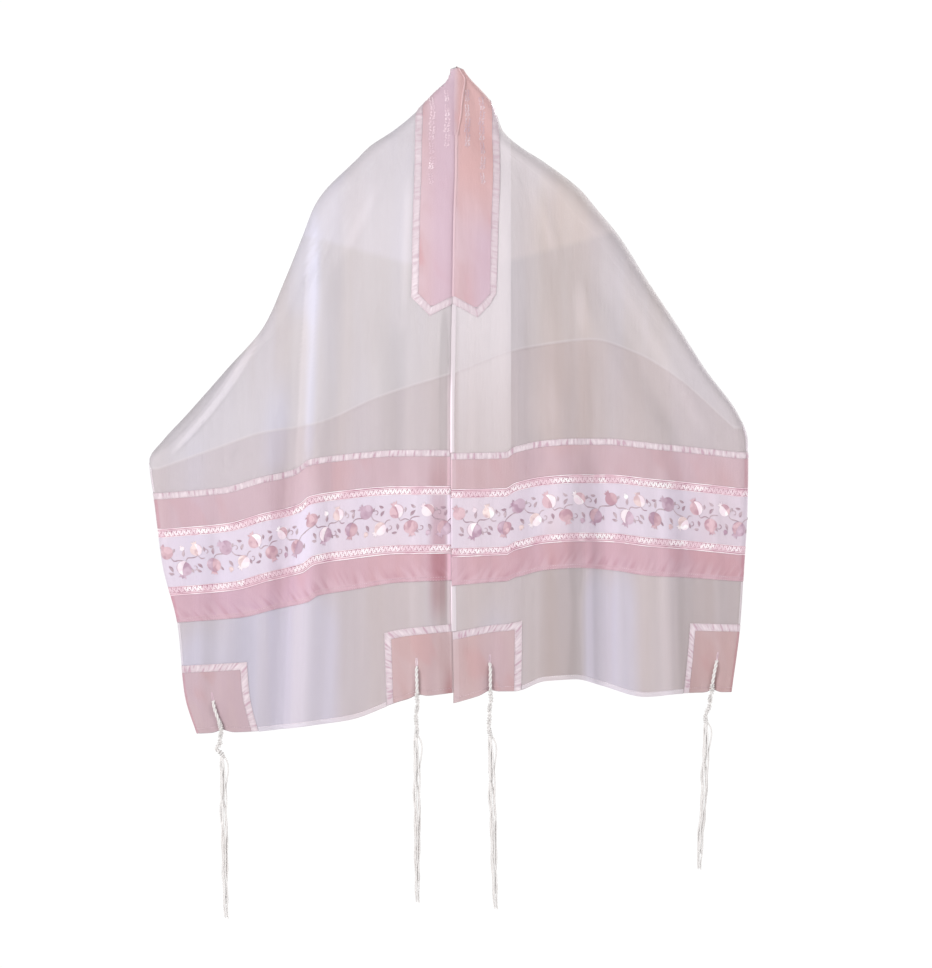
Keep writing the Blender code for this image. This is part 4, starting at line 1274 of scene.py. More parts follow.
def sew_vine(colours):
    """One repeat of the pomegranate vine, centred on the band: fruits above and below, joined by bowed stalks."""
    stem = colours["leaf"]
    roots = [turned([(0, -0.9 * fruit.radius)], fruit.angle, fruit.x, fruit.y)[0] for fruit in FRUITS]
    roots.append((roots[0][0] + REPEAT, roots[0][1]))
    for k, fruit in enumerate(FRUITS):
        body, second = colours[fruit.body], colours[fruit.second]
        sew_fruit(body, second, fruit.x, fruit.y, fruit.radius, fruit.angle)
        up = 1 if fruit.y > 0 else -1
        one, other = math.sin(2.4 * k), math.cos(1.7 * k)
        stalk = bow(roots[k], roots[k + 1], (5, -12 * up), (-13, 8 * up), 14)
        stem.line(stalk[:8] if k in SHORT_STALKS else stalk, 1.9, ends=0.4)
        if k % 3:
            sew_tendril(stem, fruit.x + 16 + one, 11 * up, 5.2, 3.2 - 0.65 * up, -up)
        sew_leaf(stem, fruit.x + 0.5 + 2 * one, -6 * up, 10.8 + other, 4.9, -up * (1.15 + 0.3 * one))
        sew_leaf(stem, fruit.x + 13 + one, 19.5 * up, 8.2, 3.9, -up * (1.9 + 0.4 * other))
        if k in BUDS:
            bud = colours[BUDS[k]]
            sew_fruit(bud, bud, fruit.x + 1.5, -19 * up, 3.7, 1.57 + 1.1 * up)
        else:
            sew_leaf(stem, fruit.x + 4.5 + 2 * other, -19 * up, 9.2, 4.3, 2.9 + 0.35 * one)


SCROLL_PITCH = 8.0


def sew_scroll(thread):
    """One repeat of the trims' running scroll: a waving line with a curl and a small leaf in each bow."""
    half = SCROLL_PITCH / 2
    thread.line([(x, 3.2 * math.sin(math.pi * x / half)) for x in np.linspace(0, SCROLL_PITCH, 13)], 1.5, ends=1.0)
    for centre, sense in ((half / 2, 1), (half * 1.5, -1)):
        sew_tendril(thread, centre + 0.3, -1.5 * sense, 2.3, 0.9 * sense, sense)
        leaf = turned(leaf_outline(2.6, 1.8, 0.1, steps=4), math.pi / 2 * sense + 0.5, centre - 1.9, -3.6 * sense)
        thread.patch(leaf, height=0.55, lean=0.9 * sense)


def stitch_shape():
    """One stitch along +Y of the pattern, rounded over its top and sunk at both ends."""
    thread = Thread()
    thread.line([(0, y) for y in np.linspace(-1.3, 1.3, 5)], 0.6, height=0.35, ends=0.5)
    return hidden_shape("stitch", thread)


def stitches_along(rows, pitch):
    """Places and angles of rows of stitches along lines of the flat pattern."""
    spots, angles = [], []
    for start, end in (np.array(ends, float) for corners in rows for ends in zip(corners, corners[1:])):
        count = max(1, int(np.linalg.norm(end - start) / pitch))
        step = (end - start) / count
        spots += [tuple(start + step * (k + 0.5)) for k in range(count)]
        angles += [math.atan2(step[1], step[0]) - math.pi / 2] * count
    return spots, angles


# ---------------------------------------------------------------- shared sewing steps

def ride(piece, slot, *nodes):
    """Puts a finished piece on the shawl's one body and hides the frame nodes it stands for; its slot is not used."""
    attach(piece, "root")
    if nodes:
        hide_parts(*nodes)
    return piece


def sew_on(piece, slot, node, flat, **more):
    """Puts on a piece that is sewn over the sheer cloth; the size of its flat cut is not used."""
    ride(piece, slot, node)


# Waves of a ribbon's puckers: size, turn in radians for each metre, and start; and the puckers' middle height
PUCKER_WAVES = ((1, 520, 1.3), (1, 811, 0.4), (0.8, 1270, 2.2), (0.9, 233, 5.1))
PUCKER_HEIGHT = 0.00022


def ribbon_puckers(gone, share):
    """Uneven small puckers along a sewn ribbon, held down at both edges."""
    waves = sum(size * np.sin(gone * pace + start) for size, pace, start in PUCKER_WAVES)
    return PUCKER_HEIGHT * (1 + 0.5 * waves) * np.sin(np.pi * share)


def ribbon_strip(name, corners, width, cut_across=None):
    """A mitred satin ribbon whose outer edge follows a line with corners; its width lies to the left of that line.

    Both ends are cut square, or at one distance across the shawl where cut_across gives it.
    """
    outer = np.array(corners, float)
    inner = outer + left_of(outer) * width
    if cut_across is not None:
        for end, after in ((0, 1), (-1, -2)):
            along = outer[after] - outer[end]
            inner[end] += (cut_across - inner[end, 1]) / along[1] * along
    marks = [0.0]
    for k, length in enumerate(np.linalg.norm(np.diff(outer, axis=0), axis=1)):
        marks += list(k + np.linspace(0, 1, max(1, int(round(length / MITRED_STEP))) + 1)[1:])
    whole = np.arange(len(outer))
    shares = np.linspace(0, 1, 5)
    edges = [np.column_stack([np.interp(marks, whole, line[:, axis]) for axis in (0, 1)]) for line in (outer, inner)]
    part = shares[None, :, None]
    flat, faces = gridded(edges[0][:, None] * (1 - part) + edges[1][:, None] * part)
    gone = np.concatenate(([0], np.cumsum(np.linalg.norm(np.diff(edges[0], axis=0), axis=1))))
    rise = ribbon_puckers(gone[:, None], shares)
    return laid_shell(name, flat, faces, satin(), rise=rise.ravel(),
                      cut=stacked(gone[:, None], shares * width).reshape(-1, 2))


@lru_cache(maxsize=None)
def satin():
    return satin_material("satin_ribbon", tuple(bpy.context.scene.tallit_trims.satin_colour))


@lru_cache(maxsize=None)
def pink_voile(part="pink"):
    settings = bpy.context.scene.tallit_bands
    streaks, sheen = {"corner": (0.8, 0.5), "atarah": (0.7, 0.8), "turned": (0.4, 0.4)}.get(part, (1.0, 0.3))
    return voile_material(f"{part}_voile", tuple(getattr(settings, f"{part}_colour")), opacity=settings.pink_opacity,
                          streaks=streaks, sheen=sheen, hem=BANDS[-1].bottom if part == "lower" else 0.0)


@lru_cache(maxsize=None)
def seam_thread():
    return thread_material("seam_thread", tuple(bpy.context.scene.tallit_trims.seam_colour))


@lru_cache(maxsize=None)
def pale_thread():
    colour = bpy.context.scene.tallit_trims.seam_colour
    return thread_material("pale_thread", tuple(min(1.0, part * 1.2) for part in colour), darker=(0.84, 0.78, 0.82))


@lru_cache(maxsize=None)
def white_thread():
    return thread_material("white_thread", tuple(bpy.context.scene.tallit_embroidery.white_colour), roughness=0.34,
                           darker=(0.94, 0.86, 0.92))


# ---------------------------------------------------------------- settings

def setting(name, description, default, **more):
    return FloatProperty(name=name, description=description, default=default, **more)


def colour_setting(name, description, default):
    return FloatVectorProperty(name=name, description=description, subtype="COLOR", size=3, min=0, max=1,
                               default=default)


def opacity_setting(description, default):
    return setting("Opacity", description, default, subtype="FACTOR", min=0.2, max=1.0)


def length_setting(name, description, default, **limits):
    return setting(name, description, default, subtype="DISTANCE", unit="LENGTH", **limits)


def power_setting(name, description, default):
    return setting(name, description, default, subtype="POWER", unit="POWER", min=0)


class ClothSettings(bpy.types.PropertyGroup):
    sheer_colour: colour_setting("Sheer cloth", "Colour of a single layer of the chiffon", (0.508, 0.437, 0.455))
    doubled_colour: colour_setting("Doubled cloth", "Colour of the chiffon over a second layer", (0.60, 0.55, 0.57))
    hem_colour: colour_setting("Hems", "Colour of the rolled hems", (0.59, 0.53, 0.565))
    sheer_opacity: opacity_setting("How much one face of the chiffon hides", 0.72)


class BandSettings(bpy.types.PropertyGroup):
    pink_colour: colour_setting("Pink voile", "Colour of the upper pink bands", (0.505, 0.36, 0.395))
    lower_colour: colour_setting("Lower voile", "Colour of the lower pink bands", (0.52, 0.328, 0.378))
    corner_colour: colour_setting("Corner voile", "Colour of the corner squares", (0.49, 0.345, 0.355))
    # The turned voile is paler: doubled cloth, and partly a painted highlight along the atarah's rim and neck edges
    turned_colour: colour_setting("Turned voile", "Colour of the atarah's hemmed neck edge", (0.62, 0.44, 0.47))
    atarah_colour: colour_setting("Atarah voile", "Colour of the atarah", (0.545, 0.38, 0.412))
    pink_opacity: opacity_setting("How much one face of the pink voile hides", 0.96)
    lawn_colour: colour_setting("Embroidered ground", "Colour of the band under the embroidery", (0.61, 0.53, 0.61))
    braid_colour: colour_setting("Trim ground", "Colour of the trims' woven ground", (0.50, 0.30, 0.36))


class TrimSettings(bpy.types.PropertyGroup):
    satin_colour: colour_setting("Satin ribbon", "Colour of the satin ribbons", (0.56, 0.465, 0.505))
    scroll_colour: colour_setting("Scroll thread", "Colour of the trims' scrolls", (0.93, 0.84, 0.88))
    seam_colour: colour_setting("Seam thread", "Colour of the sewing thread", (0.66, 0.52, 0.57))
    stitch_pitch: length_setting("Stitch pitch", "Distance from one stitch to the next", 0.0038, min=0.002, max=0.01)


class EmbroiderySettings(bpy.types.PropertyGroup):
    rose_colour: colour_setting("Rose thread", "Colour of the rose fruits", (0.60, 0.39, 0.44))
    lilac_colour: colour_setting("Lilac thread", "Colour of the lilac fruits", (0.53, 0.37, 0.46))
    white_colour: colour_setting("White thread", "Colour of the white satin stitch", (0.86, 0.76, 0.80))
    peach_colour: colour_setting("Peach thread", "Colour of the pale fruits", (0.76, 0.59, 0.59))
    leaf_colour: colour_setting("Leaf thread", "Colour of the vine and its leaves", (0.46, 0.34, 0.385))
    repeats: IntProperty(name="Repeats", description="Repeats of the vine on each band", min=1, max=6, default=2)


class TasselSettings(bpy.types.PropertyGroup):
    wool_colour: colour_setting("Wool", "Colour of the tassels", (0.71, 0.685, 0.675))
    strand_radius: length_setting("Strand radius", "Radius of one free strand", 0.0013, min=0.0003, max=0.002)
    ply_pitch: length_setting("Ply pitch", "Length of one turn of the cord's two plies", 0.016, min=0.004, max=0.05)


class StageSettings(bpy.types.PropertyGroup):
    floor_level: length_setting("Floor level", "Height of the studio floor", CAD_BOX[0].z - 0.35)
    floor_size: length_setting("Floor size", "Length of each side of the floor", 4.4, min=1)
    world_light: setting("Room light", "Strength of the even light round the room", 1.03, min=0, max=10)
    ceiling_light: setting("Ceiling light", "Strength of the light from overhead", 0.35, min=0, max=10)
    key_light: power_setting("Key light", "Power of the large soft lamp at the upper left", 125)
    fill_light: power_setting("Fill light", "Power of the soft lamp at the right", 46)
    back_light: power_setting("Back light", "Power of the soft lamp behind at the right", 120)


# ---------------------------------------------------------------- operators

class TALLIT_OT_sheer_cloth(bpy.types.Operator):
    """Lay the sheer cloth over its whole drape and hem its bare edges"""

    bl_idname = "tallit.sheer_cloth"
    bl_label = "Sheer cloth"

    def execute(self, context):
        settings = context.scene.tallit_cloth
        sheet = shawl()
        verts = np.concatenate([sheet.place + sheet.outward * face for face in (CLOTH_OVER, CLOTH_UNDER)])
        faces = shell_faces(sheet.faces, len(sheet.flat))
        cloth = link_mesh("sheer_cloth", verts, faces, sheer_material(settings),
                          np.concatenate((sheet.flat, sheet.flat)))
        behind = self.layer_behind(sheet)
        set_number(cloth.data, "behind", np.concatenate((behind, behind)))
        ride(cloth, "chiffon", "shawl_cloth")
        hems = self.sew_hems(settings)
        return {"FINISHED"}

    def layer_behind(self, sheet):
        """Height of each front point over the back's hem, seen from the front; back points count as doubled."""
        edge = np.isclose(sheet.flat[:, 1], SHAWL_WIDTH) & (np.abs(sheet.flat[:, 0]) < NECK_TO_FOLD_END - 1e-6)
        hem = sheet.place[edge]
        hem = hem[np.argsort(hem[:, 0])]
        over = sheet.place[:, 2] - np.interp(sheet.place[:, 0], hem[:, 0], hem[:, 2])
        front = sheet.place[:, 1] < 0
        return np.where(front, np.clip(over, -DOUBLED, DOUBLED), DOUBLED)

    def sew_hems(self, settings):
        material = voile_material("rolled_hem", tuple(settings.hem_colour), pitch=0.0011, streaks=0.5)
        outline = oval(HEM_WIDTH, -HEM_UNDER, HEM_HEIGHT, sides=10)
        middle = HEM_WIDTH / 2 - HEM_OVERHANG
        outer = SHAWL_WIDTH - middle
        apart = 0.001
        band_top, band_foot = BANDS[0].top - apart, BANDS[-1].bottom + apart
        square_top, hem = NECK_TO_HEM - SQUARE_SIDE - apart, NECK_TO_HEM - middle
        runs = [[(side * start, across), (side * end, far)] for side, _ in SIDES for start, across, end, far in (
            (ATARAH_AT_NECK_EDGE + apart, middle, band_top, middle),
            (band_foot, middle, square_top, middle),
            (band_foot, outer, square_top, outer),
            (hem, SQUARE_SIDE + apart, hem, SHAWL_WIDTH - SQUARE_SIDE - apart))]
        runs.append([(-band_top, outer), (band_top, outer)])
        hems = laid_sweeps("rolled_hems", [sewn_line(corners, SEAM_STEP, outline) for corners in runs], material)
        return ride(hems, "chiffon")


class TALLIT_OT_bands(bpy.types.Operator):
    """Sew the ribbon, the pink bands, the trims' grounds and the embroidered ground across both ends"""

    bl_idname = "tallit.bands"
    bl_label = "Bands"

    def execute(self, context):
        settings = context.scene.tallit_bands
        lawn = voile_material("embroidered_lawn", tuple(settings.lawn_colour), pitch=0.0007, streaks=0.6)
        braid = satin_material("trim_braid", tuple(settings.braid_colour), gloss=0.42)
        fabrics = {
            "satin": (satin(), "satin"), "voile": (pink_voile(), "pink_voile"),
            "lower": (pink_voile("lower"), "pink_voile"), "lawn": (lawn, "embroidered_voile"),
            "braid": (braid, "woven_trim"),
        }
        for side, side_name in SIDES:
            for band in BANDS:
                material, slot = fabrics[band.fabric]
                node = f"{side_name}_{band.name}"
                piece = self.lay_band(f"{node}_{band.fabric}", side, band, material)
                sew_on(piece, slot, node, flat=(band.bottom - band.top + 1e-9, SHAWL_WIDTH))
        return {"FINISHED"}

    def lay_band(self, name, side, band, material):
        ribbon = band.fabric == "satin"
        top, foot = band.top + SEAM_GAP / 2, band.bottom - SEAM_GAP / 2
        rows = rows_between(side * top, side * foot, RIBBON_STEP if ribbon else BAND_STEP)
        columns = columns_between(EDGE_INSET, SHAWL_WIDTH - EDGE_INSET, split=3 if ribbon else 1)
        flat, faces = flat_grid(rows, columns)
        if not ribbon:
            return laid_shell(name, flat, faces, material)
        away = np.abs(flat[:, 0]) - top
        rise = ribbon_puckers(flat[:, 1] * (1.07 if side > 0 else 0.93), away / (foot - top))
        cut = np.column_stack((flat[:, 1] + side, away))
        return laid_shell(name, flat, faces, material, rise=rise, cut=cut)


class TALLIT_OT_embroidery(bpy.types.Operator):
    """Embroider the pomegranate vine on both embroidered bands"""

    bl_idname = "tallit.embroidery"
    bl_label = "Embroidery"

    def execute(self, context):
        settings = context.scene.tallit_embroidery
        threads = {name: Thread() for name in ("rose", "lilac", "white", "peach", "leaf")}
        sew_vine(threads)
        middle = (BANDS[3].top + BANDS[3].bottom) / 2
        spacing = SHAWL_WIDTH / settings.repeats
        for name, thread in threads.items():
            material = white_thread() if name == "white" else thread_material(
                f"{name}_thread", tuple(getattr(settings, f"{name}_colour")))
            shape = hidden_shape(f"vine_{name}", thread)
            for side, side_name in SIDES:
                first = 0 if side > 0 else 1
                spots = [(side * middle, spacing * (k + first)) for k in range(settings.repeats)]
                piece = sewn_repeats(f"{side_name}_embroidery_{name}", spots, side * math.pi / 2, shape, material)
                ride(piece, "embroidered_voile")
            remove_object(shape)
        return {"FINISHED"}


class TALLIT_OT_trims(bpy.types.Operator):
    """Sew the scrolls and the fine cords on the woven trims"""

    bl_idname = "tallit.trims"
    bl_label = "Trims"
    # Distance of the scrolls' middle from the trim's pink edge and from the fine cords beside them, and the cords
    ROW_MIDDLE = 0.0087
    ROW_HALF = 0.0049
    EDGE_CORD = 0.0012
    FINE_CORD = 0.0007

    def execute(self, context):
        thread = Thread()
        sew_scroll(thread)
        scroll = thread_material("scroll_thread", tuple(context.scene.tallit_trims.scroll_colour), roughness=0.34,
                                 darker=(0.82, 0.64, 0.70), patch=38.0)
        shape = hidden_shape("scroll", thread)
        count = int(SHAWL_WIDTH / (SCROLL_PITCH * MM))
        margin = (SHAWL_WIDTH - count * SCROLL_PITCH * MM) / 2
        for side, side_name in SIDES:
            spots, sweeps = [], []
            first = 0 if side > 0 else 1
            for pink_edge, sense in ((BANDS[2].top, 1), (BANDS[4].bottom, -1)):
                middle = pink_edge + sense * self.ROW_MIDDLE
                spots += [(side * middle, margin + (k + first) * SCROLL_PITCH * MM) for k in range(count)]
                ends = EDGE_INSET + 0.001, SHAWL_WIDTH - EDGE_INSET - 0.001
                for down, width in ((pink_edge + sense * 0.0010, self.EDGE_CORD),
                                    (middle - self.ROW_HALF, self.FINE_CORD), (middle + self.ROW_HALF, self.FINE_CORD)):
                    sweeps.append(sewn_line([(side * down, end) for end in ends], SEAM_STEP,
                                            oval(width, CORD_FOOT, LAID_OVER + width * 0.6, sides=6)))
            scrolls = sewn_repeats(f"{side_name}_trim_scrolls", spots, side * math.pi / 2, shape, scroll)
            ride(scrolls, "woven_trim")
            ride(laid_sweeps(f"{side_name}_trim_cords", sweeps, scroll), "woven_trim")
        remove_object(shape)
        return {"FINISHED"}


class TALLIT_OT_corner_squares(bpy.types.Operator):
    """Lay the four corner squares with their ribbons and eyelets"""

    bl_idname = "tallit.corner_squares"
    bl_label = "Corner squares"
    # Edge of an eyelet: its places down from the cord's start, each with its part of half of the eyelet's width
    EYELET = ((-0.011, 0.6), (-0.004, 1), (0.003, 0.6))
    EYELET_HALF_WIDTH = 0.0011
    EYELET_THREAD = 0.0014

    def execute(self, context):
        top, foot = NECK_TO_HEM - SQUARE_SIDE, NECK_TO_HEM - EDGE_INSET
        for side, side_name in SIDES:
            for place, near, far in (("inner", EDGE_INSET, SQUARE_SIDE),
                                     ("outer", SHAWL_WIDTH - EDGE_INSET, SHAWL_WIDTH - SQUARE_SIDE)):
                inward = math.copysign(1, far - near)
                ribbon_at = far - inward * (SQUARE_RIBBON + SEAM_GAP)
                rows = rows_between(side * (top + SQUARE_RIBBON + SEAM_GAP), side * foot, SQUARE_STEP)
                columns = columns_between(*sorted((near, ribbon_at)))
                flat, faces = flat_grid(rows, columns)
                node = f"{side_name}_{place}_corner_square"
                piece = laid_shell(f"{node}_voile", flat, faces, pink_voile("corner"))
                sew_on(piece, "pink_voile", node, flat=(SQUARE_SIDE - SQUARE_RIBBON, SQUARE_SIDE - SQUARE_RIBBON))
                corners = [(side * top, near), (side * top, far), (side * foot, far)]
                if side * inward > 0:
                    corners = corners[::-1]
                node = f"{side_name}_{place}_corner_ribbon"
                ribbon = ribbon_strip(f"{node}_satin", corners, SQUARE_RIBBON)
                sew_on(ribbon, "satin", node, flat=(SQUARE_RIBBON, 2 * SQUARE_SIDE - SQUARE_RIBBON))
        outline = oval(self.EYELET_THREAD, CORD_FOOT, LAID_OVER + 0.0005, sides=6)
        eyelets = [
            sewn_line([(tassel.side * (tassel.down * MM + down), tassel.across * MM + away * bulge)
                       for down, bulge in self.EYELET], EYELET_STEP, outline)
            for tassel in TASSELS for away in (-self.EYELET_HALF_WIDTH, self.EYELET_HALF_WIDTH)]
        ride(laid_sweeps("eyelet_edges", eyelets, seam_thread()), "pink_voile")
        return {"FINISHED"}


def atarah_free_edge():
    half = [(ATARAH_AT_NECK_EDGE, EDGE_INSET), (ATARAH_AT_POINT, ATARAH_POINT_ACROSS),
            (ATARAH_AT_OUTER_EDGE, ATARAH_WIDTH)]
    return half + [(-down, across) for down, across in reversed(half)]


class TALLIT_OT_atarah(bpy.types.Operator):
    """Lay the atarah with its ribbon, its turned neck edge and its sprigs"""

    bl_idname = "tallit.atarah"
    bl_label = "Atarah"
    # Columns of sprigs: place across, place of the first sprig and their number; and the distance between sprigs
    SPRIG_COLUMNS = ((0.019, 0.046, 4), (0.043, 0.058, 6))
    SPRIG_PITCH = 0.0235
    FIELD_ROWS, FIELD_COLUMNS = 13, 161
    # The field's area in parts of the rectangle round it
    FIELD_SHARE = 0.97

    def execute(self, context):
        voile = pink_voile("atarah")
        length, width = 2 * (ATARAH_AT_POINT - ATARAH_RIBBON), ATARAH_WIDTH - ATARAH_RIBBON
        sew_on(self.lay_field(voile), "pink_voile", "atarah", flat=(width, length),
               area=width * length * self.FIELD_SHARE)
        edge = atarah_free_edge()
        ribbon = ribbon_strip("atarah_ribbon_satin", edge, ATARAH_RIBBON, EDGE_INSET)
        length = sum(math.dist(a, b) for a, b in zip(edge, edge[1:]))
        sew_on(ribbon, "satin", "atarah_ribbon", flat=(ATARAH_RIBBON, length))
        self.turn_neck_edge(voile, pink_voile("turned"))
        self.sew_sprigs()
        return {"FINISHED"}

    def lay_field(self, material):
        """The pointed strip inside its ribbon: each row ends on the ribbon's inner edge."""
        inset = ATARAH_RIBBON + SEAM_GAP
        edge = np.array(atarah_free_edge())
        inner = (edge + left_of(edge) * inset)[:3]
        inner[0] += (inner[1] - inner[0]) * (EDGE_INSET - inner[0, 1]) / (inner[1, 1] - inner[0, 1])
        rows = np.linspace(EDGE_INSET, ATARAH_WIDTH - inset, self.FIELD_ROWS)
        ends = np.interp(rows, inner[:, 1], inner[:, 0])
        shares = np.linspace(-1, 1, self.FIELD_COLUMNS)
        return laid_shell("atarah_field_voile", *gridded(stacked(shares * ends[:, None], rows[:, None])), material)

    def turn_neck_edge(self, voile, rim_voile):
        """The right neck edge turned over outward beside the peak, narrowing down to nothing."""
        share = np.linspace(0, 1, 40)
        downs = FLAP_STARTS + (FLAP_ENDS - FLAP_STARTS) * share
        width = FLAP_WIDTH * (1 - share ** 2.2) * ramp(-0.02, 0.16, share) + FLAP_NARROWEST
        lift = FLAP_HEIGHT * (1 - 0.5 * share)
        rim_height = LAID_OVER + lift * 0.35
        # Outline of the turned cloth: up the inner side of its fold, over it to the rim, and back under it
        outline = [[(-0.0008, -0.0004), (-0.0030, 0.0004), (-0.0034, h * 0.6), (-0.0022, h), (w * 0.5, h * 0.9), (w, r),
                    (w, r - 0.0005), (w * 0.5, h * 0.9 - 0.0006), (-0.0016, h - 0.0007), (-0.0024, h * 0.55),
                    (-0.0012, 0.0004)] for w, h, r in zip(width, lift, rim_height)]
        points = np.column_stack((downs, np.zeros(len(downs))))
        ride(laid_sweeps("atarah_turned_edge", [swept(points, np.array(outline))], voile), "pink_voile")
        # The rim and the neck edges use the paler turned voile: their doubled cloth, and partly a painted highlight
        # along them
        rim = np.column_stack((downs, width))
        sections = [np.add(oval(FLAP_RIM, -0.0007, 0.0009), (0, height)) for height in rim_height]
        sweeps = [swept(rim, np.array(sections))]
        for start, end in ((FLAP_ENDS - 0.004, ATARAH_AT_NECK_EDGE - ATARAH_RIBBON),
                           (-0.020, ATARAH_RIBBON - ATARAH_AT_NECK_EDGE)):
            sweeps.append(sewn_line([(start, EDGE_INSET), (end, EDGE_INSET)], NECK_SEAM_STEP,
                                    oval(0.0042, -0.0006, LAID_OVER + 0.0005)))
        ride(laid_sweeps("atarah_neck_edges", sweeps, rim_voile), "pink_voile")

    def sew_sprigs(self):
        """Two columns of small leaf sprigs on each half, in pale thread on the left and seam thread on the right."""
        thread = Thread()
        thread.line([(1.3 * math.sin(x / 3.5), x) for x in np.linspace(-11.5, 11.5, 17)], 0.9, height=0.4, ends=0.7)
        for y, sense, length in ((-9, 1, 5.6), (-5.5, -1, 4.6), (-1.5, 1, 4.8), (3.0, -1, 5.8), (7.0, 1, 4.4)):
            sew_leaf(thread, 0.4 * sense, y, length, 1.7, math.pi / 2 - sense * 0.9)
            sew_tendril(thread, 2.6 * -sense, y + 1.4, 1.7, 1.2 * sense, sense)
        shape = hidden_shape("sprig", thread)
        for side, side_name in SIDES:
            spots = [(side * (start + self.SPRIG_PITCH * k), across)
                     for across, start, count in self.SPRIG_COLUMNS for k in range(count)]
            material = seam_thread() if side > 0 else pale_thread()
            piece = sewn_repeats(f"{side_name}_atarah_sprigs", spots, side * math.pi / 2, shape, material, uneven=0.16)
            ride(piece, "pink_voile")
        remove_object(shape)


class TALLIT_OT_stitching(bpy.types.Operator):
    """Sew the rows of stitches along ribbons, seams and hems"""

    bl_idname = "tallit.stitching"
    bl_label = "Stitching"
    # Distance of the rows from a ribbon's edges, and of their ends from the edges of the cloth; heights of the stitches
    INSET = 0.0011
    APART = 0.002
    RIBBON_HEIGHT = LAID_OVER + 0.00012
    HEM_STITCH_HEIGHT = HEM_HEIGHT - 0.0001

    def execute(self, context):
        shape = stitch_shape()
        for name, rows, material, height, slot in (
                ("ribbon_stitches", self.ribbon_rows(), seam_thread(), self.RIBBON_HEIGHT, "satin"),
                ("hem_stitches", self.hem_rows(), white_thread(), self.HEM_STITCH_HEIGHT, "chiffon")):
            spots, angles = stitches_along(rows, context.scene.tallit_trims.stitch_pitch)
            ride(sewn_repeats(name, spots, angles, shape, material, uneven=0.06, height=height), slot)
        remove_object(shape)
        return {"FINISHED"}

    def ribbon_rows(self):
        """Rows along both edges of each ribbon, over the lowest band's hem and over the squares' hems."""
        rows = []
        near, far = self.APART, SHAWL_WIDTH - self.APART
        foot, top = NECK_TO_HEM - HEM_WIDTH, NECK_TO_HEM - SQUARE_SIDE
        for side, _ in SIDES:
            for down in (BANDS[0].top + self.INSET, BANDS[0].bottom - self.INSET, BANDS[-1].bottom - 0.0055,
                         BANDS[-1].bottom - 0.0012):
                rows.append([(side * down, near), (side * down, far)])
            for start, end in ((near, SQUARE_SIDE - SQUARE_RIBBON), (SHAWL_WIDTH - SQUARE_SIDE + SQUARE_RIBBON, far)):
                rows.append([(side * foot, start), (side * foot, end)])
            for start, edge, sense in ((near, SQUARE_SIDE, -1), (far, SHAWL_WIDTH - SQUARE_SIDE, 1)):
                for inset in (self.INSET, SQUARE_RIBBON - self.INSET):
                    rows.append([(side * (top + inset), start), (side * (top + inset), edge + sense * inset),
                                 (side * (NECK_TO_HEM - self.APART), edge + sense * inset)])
        edge = np.array(atarah_free_edge())
        return rows + [(edge + left_of(edge) * inset).tolist() for inset in (self.INSET, ATARAH_RIBBON - self.INSET)]

    def hem_rows(self):
        """Rows over the rolled hems between the squares and along the back."""
        foot, side_hem = (edge - HEM_WIDTH + self.APART for edge in (NECK_TO_HEM, SHAWL_WIDTH))
        ends, near, far = BANDS[0].top - self.APART, SQUARE_SIDE + self.APART, SHAWL_WIDTH - SQUARE_SIDE - self.APART
        feet = [[(side * foot, near), (side * foot, far)] for side, _ in SIDES]
        return feet + [[(-ends, side_hem), (ends, side_hem)]]


